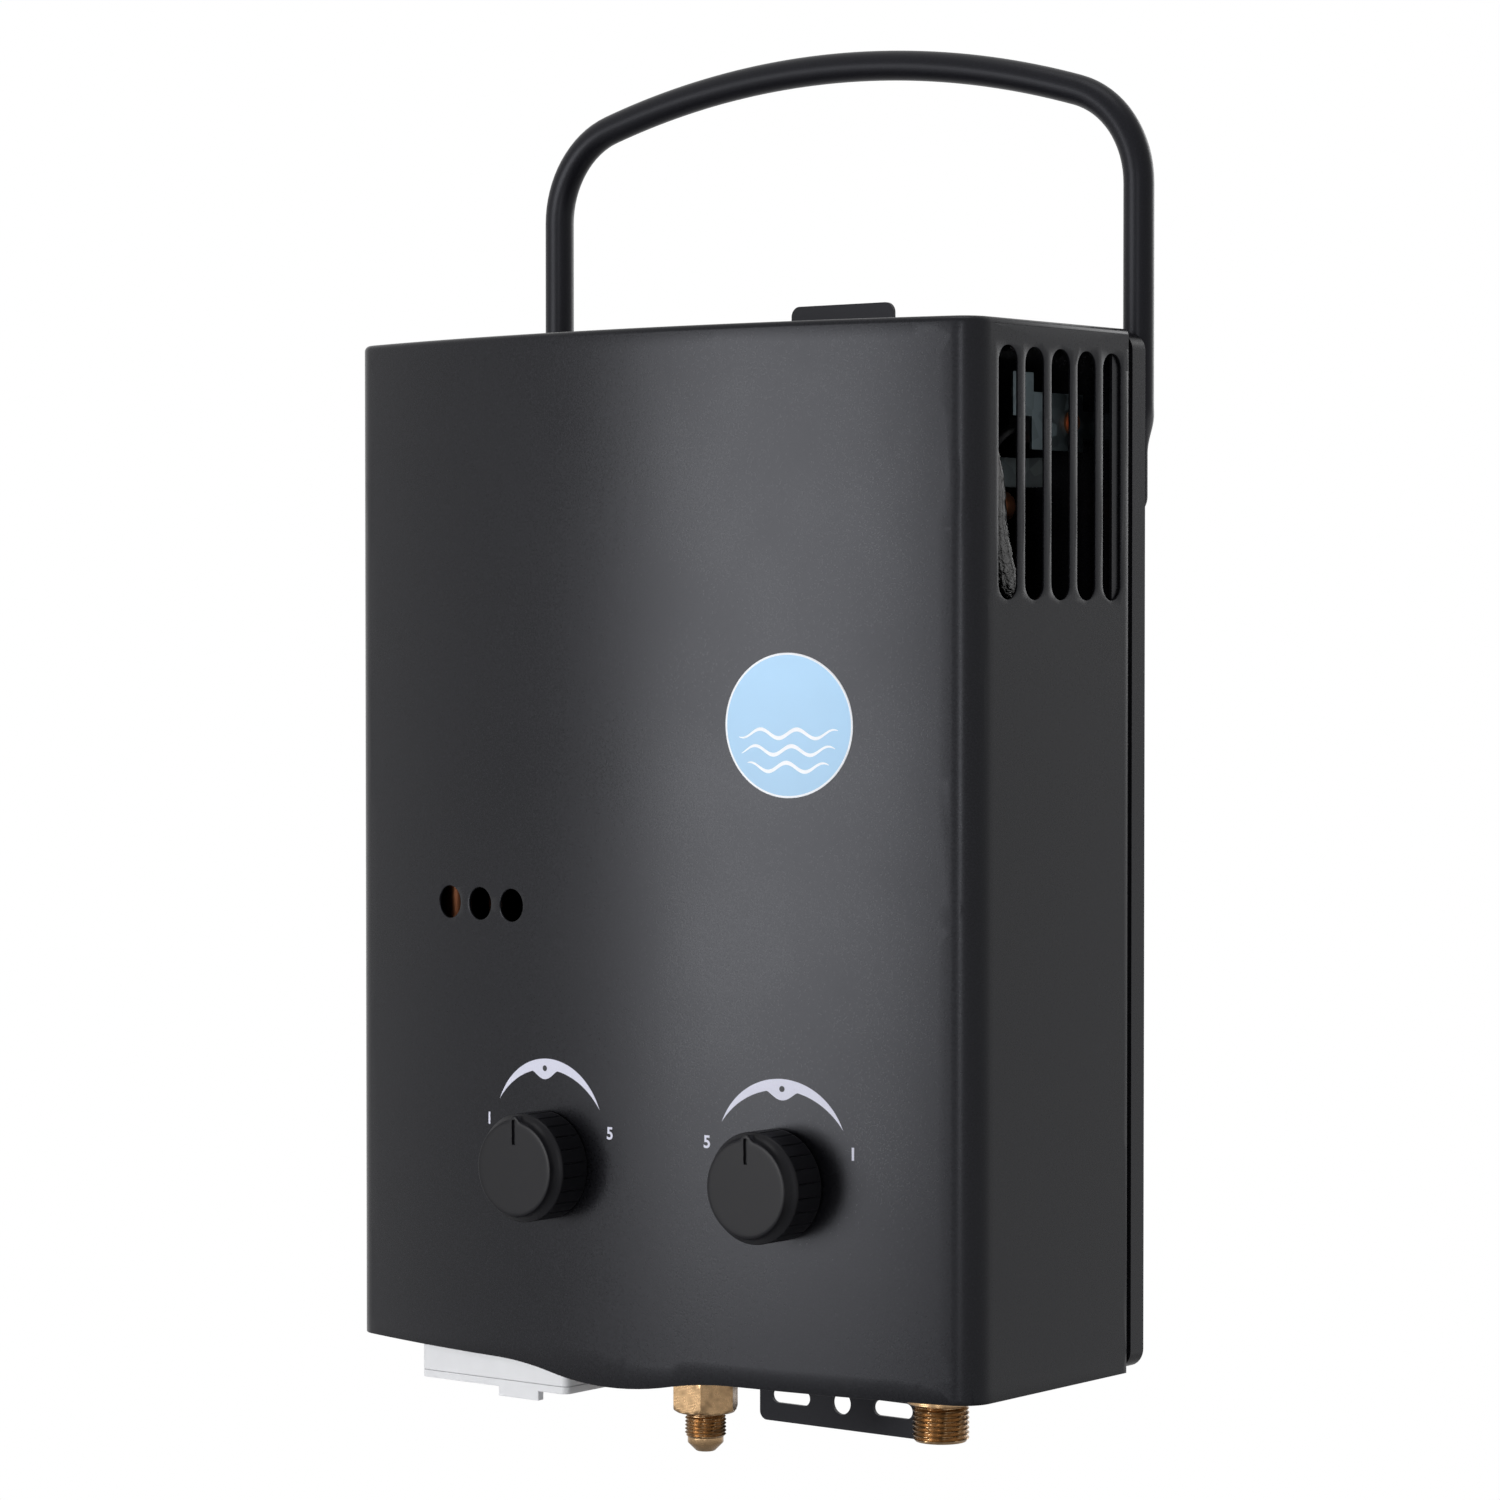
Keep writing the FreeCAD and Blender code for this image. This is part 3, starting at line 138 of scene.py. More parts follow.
def add(tree, kind, inputs=None, stops=(), **settings):
    """Adds one node with its settings. Inputs go by name or number and take a value, a socket, or
    a node for its first output. Stops are the places and colours of a ramp."""
    node = tree.nodes.new(kind)
    for key, value in settings.items():
        setattr(node, key, value)
    for key, value in (inputs or {}).items():
        if isinstance(value, bpy.types.Node):
            value = value.outputs[0]
        if isinstance(value, bpy.types.NodeSocket):
            tree.links.new(value, node.inputs[key])
        else:
            node.inputs[key].default_value = value
    if stops:
        steps = node.color_ramp.elements
        while len(steps) < len(stops):
            steps.new(0.5)
        for step, (place, colour) in zip(steps, stops):
            step.position, step.color = place, colour
    return node


def rgba(colour, factor=1.0):
    """A colour with its alpha, made lighter or darker by a factor."""
    return (*(min(1.0, c * factor) for c in colour), 1.0)


def new_finish(name):
    """An empty material, its tree and its object coordinates in millimetres."""
    look = bpy.data.materials.new(name)
    look.use_nodes = True
    tree = look.node_tree
    tree.nodes.clear()
    place = add(tree, "ShaderNodeTexCoord").outputs["Object"]
    scaled = add(tree, "ShaderNodeVectorMath", {0: place, 1: (1 / MM,) * 3}, operation="MULTIPLY")
    return look, tree, scaled


def end_finish(look, colour, tone, gloss, relief=None, more=None):
    """Ends a finish in its shader. Tone is a pattern, then places on it and how light the colour
    is there. Gloss is a roughness, or a pattern and its two levels. Relief is a pattern, a
    strength and a depth in millimetres."""
    tree = look.node_tree
    inputs = {"Base Color": add(tree, "ShaderNodeValToRGB", {"Fac": tone[0]}, stops=[
        (place, rgba(colour, factor)) for place, factor in tone[1:]]), "Roughness": gloss}
    if isinstance(gloss, tuple):
        inputs["Roughness"] = add(tree, "ShaderNodeMapRange", {
            "Value": gloss[0], "To Min": gloss[1], "To Max": gloss[2]})
    if relief:
        inputs["Normal"] = add(tree, "ShaderNodeBump", {
            "Height": relief[0], "Strength": relief[1], "Distance": relief[2] * MM})
    shader = add(tree, "ShaderNodeBsdfPrincipled", inputs | (more or {}))
    add(tree, "ShaderNodeOutputMaterial", {"Surface": shader})
    return look


def powder_coat(name, colour, rough, grain, depth, specular):
    """Baked polyester powder: a satin black skin, pebbled at the size of its grains, with a few
    grains that stand out lighter. The grain is given in millimetres."""
    look, tree, place = new_finish(name)
    pebbles = add(tree, "ShaderNodeTexNoise", {"Vector": place, "Scale": 1 / grain, "Detail": 3.0,
                                               "Roughness": 0.6})
    cloud = add(tree, "ShaderNodeTexNoise", {"Vector": place, "Scale": 1 / 60.0, "Detail": 2.0})
    wide = add(tree, "ShaderNodeMapRange", {"Value": cloud, "To Min": rough - 0.05,
                                            "To Max": rough + 0.05})
    fine = add(tree, "ShaderNodeMapRange", {"Value": pebbles, "To Min": -0.08, "To Max": 0.08})
    gloss = add(tree, "ShaderNodeMath", {0: wide, 1: fine}, operation="ADD")
    return end_finish(look, colour, (pebbles, (0.30, 0.72), (0.55, 1.0), (0.72, 1.7)), gloss,
                      (pebbles, 1.0, depth), {"Specular IOR Level": specular,
                                              "Specular Tint": (0.9, 0.92, 1.0, 1.0)})


def moulded_plastic(name, colour, rough, grain, depth, specular=0.5, through=0.0):
    """Injection-moulded plastic: an even colour with the faint spark-eroded grain of its tool,
    and a little light let in where it is white."""
    look, tree, place = new_finish(name)
    texture = add(tree, "ShaderNodeTexNoise", {"Vector": place, "Scale": 1 / grain, "Detail": 2.0})
    flow = add(tree, "ShaderNodeTexNoise", {"Vector": place, "Scale": 1 / 18.0, "Detail": 3.0})
    return end_finish(look, colour, (flow, (0.3, 0.95), (0.7, 1.03)),
                      (texture, rough - 0.06, rough + 0.06), (texture, 1.0, depth),
                      {"Specular IOR Level": specular, "Subsurface Weight": through,
                       "Subsurface Radius": (1.0, 1.0, 1.0), "Subsurface Scale": 1.5 * MM})


def machined_brass(name, colour):
    """Brass turned from bar: warm metal with fine rings from the tool and darker and lighter
    patches, partly real stain and partly painted reflection of the dark parts round it, which
    break the reflections up."""
    look, tree, place = new_finish(name)
    rings = add(tree, "ShaderNodeTexWave", {"Vector": place, "Scale": 0.55, "Distortion": 0.6,
                                            "Detail": 2.0}, bands_direction="Z")
    # Patches partly of stain, partly painted reflection: dark and bright mirror images of nearby
    # parts put into the colour.
    stain_and_painted_reflection = add(tree, "ShaderNodeTexNoise", {"Vector": place, "Scale": 1 / 3.5, "Detail": 5.0})
    return end_finish(look, colour, (stain_and_painted_reflection, (0.30, 0.62), (0.50, 1.0), (0.75, 1.12)),
                      (stain_and_painted_reflection, 0.36, 0.2), (rings.outputs["Fac"], 0.5, 0.03), {"Metallic": 1.0})


def drawn_copper(name, colour):
    """Drawn copper tube and sheet, tinted by heat: rosy metal with darker brown clouds and thin
    streaks along its length."""
    look, tree, place = new_finish(name)
    heat = add(tree, "ShaderNodeTexNoise", {"Vector": place, "Scale": 1 / 26.0, "Detail": 5.0,
                                            "Roughness": 0.6})
    streaks = add(tree, "ShaderNodeTexNoise", {"Vector": place, "Scale": 1 / 1.2, "Detail": 1.0})
    return end_finish(look, colour, (heat, (0.32, 0.45), (0.52, 1.0), (0.72, 1.15)),
                      (heat, 0.5, 0.28), (streaks, 0.4, 0.05), {"Metallic": 1.0})


def galvanised_sheet(name, colour):
    """Hot-dip galvanised sheet: zinc crystals of about 6 mm, each with its own grey and gloss."""
    look, tree, place = new_finish(name)
    spangle = add(tree, "ShaderNodeTexVoronoi", {"Vector": place, "Scale": 1 / 6.0})
    dust = add(tree, "ShaderNodeTexNoise", {"Vector": place, "Scale": 1 / 0.9, "Detail": 3.0})
    grey = add(tree, "ShaderNodeRGBToBW", {"Color": spangle.outputs["Color"]})
    return end_finish(look, colour, (grey, (0.2, 0.72), (0.8, 1.15)), (grey, 0.32, 0.55),
                      (dust, 0.3, 0.04), {"Metallic": 1.0})


def plated_steel(name, colour, rough):
    """Zinc-plated or bare cast metal: a cool grey with a soft sheen and tiny pits."""
    look, tree, place = new_finish(name)
    pits = add(tree, "ShaderNodeTexNoise", {"Vector": place, "Scale": 1 / 0.7, "Detail": 4.0})
    patches = add(tree, "ShaderNodeTexNoise", {"Vector": place, "Scale": 1 / 9.0, "Detail": 3.0})
    return end_finish(look, colour, (patches, (0.3, 0.8), (0.7, 1.1)),
                      (pits, rough - 0.08, rough + 0.1), (pits, 0.5, 0.04), {"Metallic": 1.0})


def glazed_ceramic(name, colour):
    """Glazed alumina: warm white under a clear glassy skin, slightly mottled."""
    look, tree, place = new_finish(name)
    mottle = add(tree, "ShaderNodeTexNoise", {"Vector": place, "Scale": 1 / 2.0, "Detail": 3.0})
    return end_finish(look, colour, (mottle, (0.3, 0.9), (0.7, 1.0)), 0.22, None,
                      {"Coat Weight": 0.6, "Coat Roughness": 0.08})


def printed_vinyl(name, colour):
    """Printed vinyl film: a smooth pale gradient under a satin laminate."""
    look, tree, place = new_finish(name)
    height = add(tree, "ShaderNodeSeparateXYZ", {"Vector": place}).outputs["Z"]
    fade = add(tree, "ShaderNodeMapRange", {"Value": height, "From Min": FOOT + 214.0,
                                            "From Max": FOOT + 266.0})
    cloud = add(tree, "ShaderNodeTexNoise", {"Vector": place, "Scale": 1 / 12.0, "Detail": 3.0})
    drift = add(tree, "ShaderNodeMapRange", {"Value": cloud, "To Min": -0.2, "To Max": 0.2})
    mixed = add(tree, "ShaderNodeMath", {0: fade, 1: drift}, operation="ADD")
    return end_finish(look, colour, (mixed, (0.1, 0.93), (0.9, 1.07)), 0.34, None,
                      {"Specular IOR Level": 0.4})


def wrapped_tape(name, colour):
    """PVC insulating tape: glossy black, wrinkled across its width where it goes round bends."""
    look, tree, place = new_finish(name)
    folds = add(tree, "ShaderNodeTexNoise", {"Vector": place, "Scale": 1 / 2.6, "Detail": 2.0,
                                             "Distortion": 1.4})
    return end_finish(look, colour, (folds, (0.35, 0.7), (0.7, 1.6)), 0.16, (folds, 1.0, 0.9),
                      {"Specular IOR Level": 0.8, "Coat Weight": 0.7, "Coat Roughness": 0.12})


def printed_ink(name, colour):
    """Screen-printed ink: a flat film with the slight unevenness of the mesh."""
    look, tree, place = new_finish(name)
    film = add(tree, "ShaderNodeTexNoise", {"Vector": place, "Scale": 1 / 0.5, "Detail": 2.0})
    return end_finish(look, colour, (film, (0.3, 0.94), (0.7, 1.0)), 0.5, None,
                      {"Specular IOR Level": 0.3})


LOOKS = {}


def make_finishes(colours):
    """Every finish, under the name of the slot or print that wears it."""
    LOOKS.update({
        "cover_black": powder_coat("powder_coat_textured_baked", colours.casing, 0.29, 0.8, 0.02,
                                   0.2),
        "bracket_black": powder_coat("powder_coat_satin_baked", colours.handle, 0.36, 0.5, 0.02,
                                     0.14),
        "knob_black": moulded_plastic("abs_black_moulded", colours.knob, 0.34, 0.4, 0.012, 0.12),
        "white_plastic": moulded_plastic("abs_white_moulded", colours.battery_box, 0.42, 0.5, 0.01,
                                         0.4, 0.15),
        "dark_plastic": moulded_plastic("nylon_black_moulded", linear("#1d1d20"), 0.45, 0.5, 0.02),
        "galvanised": galvanised_sheet("steel_galvanised_dipped", colours.zinc),
        # A darker copy of the galvanised finish, which paints in the shade on the cutoff bracket
        # inside the casing.
        "zinc_painted_shade": galvanised_sheet("steel_galvanised_weathered", linear("#566064")),
        "copper": drawn_copper("copper_drawn", colours.copper),
        # This near-black copper paints in the shade inside the casing; it is no finish of the
        # metal.
        "copper_painted_shade": drawn_copper("copper_sheet_heat_darkened", linear("#2c211c")),
        "brass": machined_brass("brass_turned", colours.brass),
        "cast_alloy": plated_steel("aluminium_die_cast", linear("#a4a6a6"), 0.5),
        "steel": plated_steel("steel_zinc_plated", linear("#a9abae"), 0.36),
        "ceramic": glazed_ceramic("alumina_glazed", linear("#ece6da")),
        "label_blue": printed_vinyl("vinyl_printed", colours.label),
        "cell": plated_steel("steel_can_printed", linear("#4a5a6a"), 0.4),
        "tape_black": wrapped_tape("pvc_tape_wrapped", linear("#141416")),
        "label_white": printed_ink("ink_white_printed", linear("#f2f5fa")),
        "dial_ink": printed_ink("ink_grey_screen_printed", colours.print_ink),
        "dial_dark": printed_ink("ink_black_screen_printed", linear("#26272c")),
    })


def node_slots():
    """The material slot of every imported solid."""
    return {part["node"]: part["material_slot"] for part in frame["record"]["subparts"]}


def dress_nodes():
    """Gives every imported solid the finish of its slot."""
    # The combustion chamber and the exchanger shell wear a near-black copper: painted shade for
    # the dark inside of the casing.
    painted_shade_inside = dict.fromkeys(("combustion_chamber", "exchanger_shell"), "copper_painted_shade")
    slots = node_slots() | painted_shade_inside
    for name, obj in frame["nodes"].items():
        look = LOOKS[slots[name]]
        if not obj.material_slots:
            obj.data.materials.append(look)
        for place in obj.material_slots:
            place.material = look


# Meshes

def put(name, data):
    """A new object in the scene, with data or with the mesh of a shape in millimetres."""
    if isinstance(data, bmesh.types.BMesh):
        shape, data = data, bpy.data.meshes.new(name)
        bmesh.ops.scale(shape, vec=(MM, MM, MM), verts=shape.verts)
        shape.to_mesh(data)
        shape.free()
    obj = bpy.data.objects.new(name, data)
    bpy.context.scene.collection.objects.link(obj)
    return obj


def declare(obj, stands_for, smooth, body="casing"):
    """Shades a finished piece smooth, with creases where faces meet at more than an angle in
    degrees, and says what it rides on and stands for."""
    obj.data.shade_smooth()
    obj.data.set_sharp_from_angle(angle=math.radians(smooth))
    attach(obj, body)
    if stands_for:
        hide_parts(*stands_for)
    return obj


def emit(name, shape, slot, stands_for=(), smooth=50.0, body="casing", looks=None, modifiers=()):
    """Puts a finished shape in millimetres into the scene, as a piece that rides on a body."""
    obj = put(name, shape)
    for look in looks or [slot]:
        obj.data.materials.append(LOOKS[look])
    for kind, settings in modifiers:
        step = obj.modifiers.new(kind.lower(), kind)
        for key, value in settings.items():
            setattr(step, key, value)
    if modifiers:
        flatten(obj)
    return declare(obj, stands_for, smooth, body)


def flatten(obj):
    """Turns an object's modifiers into its own mesh."""
    ready = obj.evaluated_get(bpy.context.evaluated_depsgraph_get())
    mesh = bpy.data.meshes.new_from_object(ready)
    obj.modifiers.clear()
    obj.data = mesh
    mesh.name = obj.name


def face_outwards(shape):
    """Makes the faces of a closed shape point outwards."""
    bmesh.ops.recalc_face_normals(shape, faces=shape.faces)


def loop_faces(shape, rings, closed_round=True, closed_along=False):
    """Quads between neighbouring rings of points; rings of one point close to a pole."""
    grid = [[shape.verts.new(p) for p in ring] for ring in rings]
    pairs = list(zip(grid, grid[1:]))
    if closed_along:
        pairs.append((grid[-1], grid[0]))
    for low, top in pairs:
        count = max(len(low), len(top))
        for i in range(count if closed_round else count - 1):
            j = (i + 1) % count
            corners = [low[i % len(low)], low[j % len(low)], top[j % len(top)], top[i % len(top)]]
            face = list(dict.fromkeys(corners))
            if len(face) > 2:
                shape.faces.new(face)
    return grid


def capped_faces(shape, rings):
    """A skin over rings, closed with a face at each end."""
    grid = loop_faces(shape, rings)
    for ring in (grid[0], grid[-1]):
        shape.faces.new(ring)


def dressed(node, edge, body="casing", look=None):
    """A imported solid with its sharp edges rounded, standing for that solid."""
    shape = bmesh.new()
    shape.from_mesh(frame["nodes"][node].data)
    bmesh.ops.scale(shape, vec=(1 / MM, 1 / MM, 1 / MM), verts=shape.verts)
    bmesh.ops.remove_doubles(shape, verts=shape.verts, dist=0.002)
    bmesh.ops.dissolve_limit(shape, angle_limit=math.radians(1.0), verts=shape.verts,
                             edges=shape.edges, use_dissolve_boundaries=False)
    sharp = [e for e in shape.edges
             if e.is_manifold and e.calc_face_angle(0.0) > math.radians(38.0)]
    bmesh.ops.bevel(shape, geom=sharp, offset=edge, offset_type="OFFSET", segments=2,
                    profile=0.5, affect="EDGES", clamp_overlap=True)
    slot = node_slots()[node]
    piece = emit(f"{node}_finished", shape, slot, (node,), 40.0, body, [look or slot])
    flat = piece.modifiers.new("flat faces stay flat", "WEIGHTED_NORMAL")
    flat.keep_sharp = True


# Front cover

def mm(value):
    """A length of the property groups, in millimetres."""
    return value / MM


class CoverPlan:
    """Plan of the cover: straight sides, round corners and a bowed front."""

    def __init__(self, sizes):
        self.half = mm(sizes.cover_width) / 2
        self.bend = mm(sizes.corner)
        self.rear = COVER_REAR
        bow = mm(sizes.bow)
        self.radius = (self.half ** 2 + bow ** 2) / (2 * bow)
        self.centre_y = COVER_FRONT - bow + self.radius
        reach = self.half - self.bend
        self.corner_y = self.centre_y - math.sqrt((self.radius - self.bend) ** 2 - reach ** 2)
        self.lean = math.atan2(reach, self.centre_y - self.corner_y)
        self.side = self.rear - self.corner_y
        self.round = self.bend * (math.pi / 2 - self.lean)
        self.front = 2 * self.radius * self.lean
        self.total = 2 * (self.side + self.round) + self.front

    def at(self, run):
        """Point and outward direction at a distance along the sheet from its rear left edge."""
        middle = self.total / 2
        away = abs(run - middle)
        sign = 1 if run > middle else -1
        if away <= self.front / 2:
            turn = away / self.radius
            x, y = self.radius * math.sin(turn), self.centre_y - self.radius * math.cos(turn)
        elif away <= self.front / 2 + self.round:
            turn = self.lean + (away - self.front / 2) / self.bend
            x = self.half - self.bend + self.bend * math.sin(turn)
            y = self.corner_y - self.bend * math.cos(turn)
        else:
            turn = math.pi / 2
            x, y = self.half, self.corner_y + away - self.front / 2 - self.round
        return sign * x, y, sign * math.sin(turn), -math.cos(turn)

    def run_at_x(self, x):
        """Distance along the sheet of a point of the bowed front."""
        return self.total / 2 + self.radius * math.asin(x / self.radius)

    def bow_y(self, x):
        """Y of the bowed front at one X."""
        return self.centre_y - math.sqrt(self.radius ** 2 - x ** 2)

    def columns(self):
        """Distances along the sheet at which it is divided."""
        near, far = self.side + self.round, self.total - self.side - self.round
        return [0.0, *spread(self.side, near, 9), *spread(near, far, 56)[1:],
                *spread(far, self.total - self.side, 9)[1:], self.total]


def spread(start, end, steps):
    """Evenly spaced numbers from start to end."""
    return [start + (end - start) * i / steps for i in range(steps + 1)]


def turns(steps):
    """Evenly spaced angles once round."""
    return spread(0, 2 * math.pi, steps)[:-1]


def lower_edge(x, dip):
    """Height of the cover's lower edge: flat, with a smooth dip of four equal arcs."""
    middle, half = -5.0, 57.0
    away = abs(x - middle)
    if away >= half:
        return 0.0
    bend = ((half / 2) ** 2 + (dip / 2) ** 2) / dip
    if away >= half / 2:
        return math.sqrt(bend ** 2 - (half - away) ** 2) - bend
    return bend - dip - math.sqrt(bend ** 2 - away ** 2)


def stadium(low, top, middle, radius, steps=14):
    """Outline of an upright slot with round ends."""
    return [(middle + radius * math.cos(turn), height + radius * math.sin(turn))
            for start, height in ((math.pi, low + radius), (0.0, top - radius))
            for turn in spread(start, start + math.pi, steps)]


def disc(x, y, radius, steps=32):
    """Points round a circle."""
    return [(x + radius * math.cos(t), y + radius * math.sin(t)) for t in turns(steps)]


def fill(shape, loops, place):
    """Faces inside the first loop and outside the others, in a flat pattern."""
    edges = []
    for loop in loops:
        ring = [shape.verts.new(place(*point)) for point in loop]
        edges += [shape.edges.new(pair) for pair in zip(ring, ring[1:] + ring[:1])]
    bmesh.ops.triangle_fill(shape, use_beauty=True, edges=edges)


def slot_columns(plan):
    """Upright lines of the flat pattern through and between the side slots."""
    runs = []
    for index in range(-1, 10):
        run = plan.rear - SLOT_FIRST - SLOT_PITCH / 2 * index
        runs += [run, plan.total - run]
    return runs


def hole_rows():
    """Level lines of the flat pattern, closer where it has holes."""
    heights = [8.0, 40.0, 67.0, 71.0, 75.0, 79.0, 83.0, 120.0, 162.0, 167.0, 171.0, 175.0, 180.0,
               220.0, 255.0, 283.0, 291.0, 310.0, 330.0, 350.0, 369.4, 377.4]
    return [FOOT + height for height in heights]


def divide_pattern(shape, columns, rows):
    """Cuts a flat pattern into cells and joins whatever lies inside one cell."""
    cuts = [((run, 0, 0), (1, 0, 0)) for run in columns] + [((0, z, 0), (0, 1, 0)) for z in rows]
    for point, normal in cuts:
        bmesh.ops.bisect_plane(shape, geom=shape.verts[:] + shape.edges[:] + shape.faces[:],
                               dist=1e-4, plane_co=point, plane_no=normal)
    spare = []
    for edge in shape.edges:
        (x0, z0, _), (x1, z1, _) = edge.verts[0].co, edge.verts[1].co
        upright = abs(x0 - x1) < 1e-3 and any(abs(x0 - run) < 1e-3 for run in columns)
        flat = abs(z0 - z1) < 1e-3 and any(abs(z0 - z) < 1e-3 for z in rows)
        if len(edge.link_faces) == 2 and not upright and not flat:
            spare.append(edge)
    bmesh.ops.dissolve_edges(shape, edges=spare, use_verts=False)


def cover_wall(plan, sizes):
    """The cover's wall as a flat pattern with its holes, bent round the plan."""
    shape = bmesh.new()
    top = FOOT + mm(sizes.cover_height) - mm(sizes.top_bend)
    columns = plan.columns()
    lower = [(run, FOOT + lower_edge(plan.at(run)[0], mm(sizes.dip))) for run in columns]
    upper = [(run, top) for run in reversed(columns)]
    loops = [lower + upper]
    for index in range(5):
        run = plan.rear - SLOT_FIRST - SLOT_PITCH * index
        for middle in (run, plan.total - run):
            loops.append(stadium(FOOT + 285.0, FOOT + 375.4, middle, 6.0))
    viewing = [(-88.2 + 17.3 * index, 171.0, 6.2) for index in range(3)]
    for x, height, radius in (*viewing, (GAS_X, KNOB_HIGH, 6.0), (WATER_X, KNOB_HIGH, 6.0)):
        ring = disc(x, FOOT + height, radius)
        loops.append([(plan.run_at_x(px), pz) for px, pz in ring])
    fill(shape, loops, lambda run, z: (run, z, 0.0))
    divide_pattern(shape, columns[1:-1] + slot_columns(plan), hole_rows())
    for vert in shape.verts:
        x, y, _, _ = plan.at(vert.co.x)
        vert.co = (x, y, vert.co.y)
    return shape


def cover_top(shape, plan, sizes):
    """The bend along the top and the flat top with its exhaust opening."""
    bend = mm(sizes.top_bend)
    top = FOOT + mm(sizes.cover_height)
    rings = []
    for step in range(6):
        turn = math.radians(18 * step)
        inset = bend * (1 - math.cos(turn))
        height = top - bend + bend * math.sin(turn)
        ring = []
        for run in plan.columns():
            x, y, out_x, out_y = plan.at(run)
            ring.append((x - inset * out_x, y - inset * out_y, height))
        rings.append(ring)
    loop_faces(shape, rings, closed_round=False)
    rim = [(x, y) for x, y, _ in rings[-1]]
    reach, near, far, corner = 66, -94, -56, 6  # middles of the opening's corners, their radius
    mouth = [(x + corner * math.cos(turn), y + corner * math.sin(turn))
             for x, y, start in ((reach, far, 0), (-reach, far, 90), (-reach, near, 180),
                                 (reach, near, 270))
             for turn in spread(math.radians(start), math.radians(start + 90), 6)]
    screws = [disc(x, y, 1.75, 16) for x, y in COVER_SCREWS]
    fill(shape, [rim, mouth] + screws, lambda x, y: (x, y, top))
    bmesh.ops.remove_doubles(shape, verts=shape.verts, dist=0.005)


def make_cover(sizes):
    """Front cover: one bent sheet with a closed top, slots, holes and a dipped lower edge."""
    plan = CoverPlan(sizes)
    shape = cover_wall(plan, sizes)
    cover_top(shape, plan, sizes)
    shape.normal_update()
    heart = Vector((0, -50, FOOT + 190))
    for face in shape.faces:
        if face.normal.dot(face.calc_center_median() - heart) < 0:
            face.normal_flip()
    wall = ("SOLIDIFY", {"thickness": sizes.sheet, "offset": -1.0, "use_even_offset": True})
    edge = ("BEVEL", {"width": sizes.edge, "segments": 2, "limit_method": "ANGLE",
                      "angle_limit": math.radians(60), "use_clamp_overlap": False})
    weights = ("WEIGHTED_NORMAL", {"weight": 60, "keep_sharp": True})
    emit("front_cover_sheet", shape, "cover_black", ("front_cover",),
         modifiers=(wall, edge, weights))


# Handle

def handle_route(sizes):
    """Rings of the handle: centre, sideways direction, half width, half depth and squareness."""
    leg, bend, arch = LEG_X, 38.0, 400.0  # radii of the corners and of the top
    radius, right = mm(sizes.tube_radius), math.pi / 2
    y = -5.75
    wide, deep = 6.6, 1.2                 # half the width and depth of the pressed ends
    centre = FOOT + 492.9 - arch
    knee_x = leg - bend
    knee_z = centre + math.sqrt((arch - bend) ** 2 - knee_x ** 2)
    lean = math.atan2(knee_x, knee_z - centre)
    half = []
    arcs = [(0.0, centre, arch, turn) for turn in spread(0.0, lean, 22)]
    arcs += [(knee_x, knee_z, bend, turn) for turn in spread(lean, right, 16)[1:]]
    for x, z, reach, turn in arcs:
        half.append((x + reach * math.sin(turn), y, z + reach * math.cos(turn), turn,
                     radius, radius, 2.0))
    flat_y = BACK_FACE + deep
    for z in spread(knee_z, FOOT + 358.0, 4)[1:]:
        half.append((leg, y, z, right, radius, radius, 2.0))
    for step in spread(0.0, 1.0, 12)[1:]:
        ease = step * step * (3 - 2 * step)
        half.append((leg, y + (flat_y - y) * ease, FOOT + 358.0 - 18.0 * step, right,
                     radius + (wide - radius) * ease, radius + (deep - radius) * ease,
                     2.0 + 6.0 * ease))
    for turn in spread(0.0, math.radians(84), 8):
        half.append((leg, flat_y, FOOT + LEG_SCREW - wide * math.sin(turn), right,
                     wide * math.cos(turn), deep, 8.0))
    return half


def make_handle(sizes):
    """Handle: a round tube bent to an arch, its ends pressed flat behind the back plate."""
    half = handle_route(sizes)
    mirrored = [(-x, y, z, -turn, a, b, n) for x, y, z, turn, a, b, n in reversed(half[1:])]
    rings = []
    for x, y, z, turn, wide, deep, square in mirrored + half:
        side = Vector((math.sin(turn), 0, math.cos(turn)))
        ring = []
        for angle in turns(36):
            c, s = math.cos(angle), math.sin(angle)
            across = math.copysign(abs(c) ** (2 / square), c) * wide
            along = math.copysign(abs(s) ** (2 / square), s) * deep
            ring.append(Vector((x, y, z)) + side * across + Vector((0, along, 0)))
        rings.append(ring)
    shape = bmesh.new()
    capped_faces(shape, rings)
    face_outwards(shape)
    emit("carry_handle_tube", shape, "bracket_black", ("carry_handle",))


# Label and dials

def on_bow(plan, x, z, out):
    """A point of the bowed front, lifted off it by a distance."""
    y = plan.bow_y(x)
    normal = Vector((x, y - plan.centre_y, 0)).normalized()
    return Vector((x, y, z)) + normal * out


def round_film(shape, plan, x, z, levels, steps):
    """A round closed film on the front, from radii and lifts; a radius of 0 is one point."""
    loop_faces(shape, [[on_bow(plan, px, pz, out) for px, pz in
                        (disc(x, z, radius, steps) if radius else [(x, z)])]
                       for radius, out in levels])


def printed_strip(shape, plan, columns, low, high, look=0):
    """A thin closed film between two edges, given as rows of points on the front."""
    rings = []
    for (x0, z0), (x1, z1) in columns:
        rings.append([on_bow(plan, x0, z0, low), on_bow(plan, x1, z1, low),
                      on_bow(plan, x1, z1, high), on_bow(plan, x0, z0, high)])
    start = len(shape.faces)
    capped_faces(shape, rings)
    shape.faces.ensure_lookup_table()
    for face in shape.faces[start:]:
        face.material_index = look


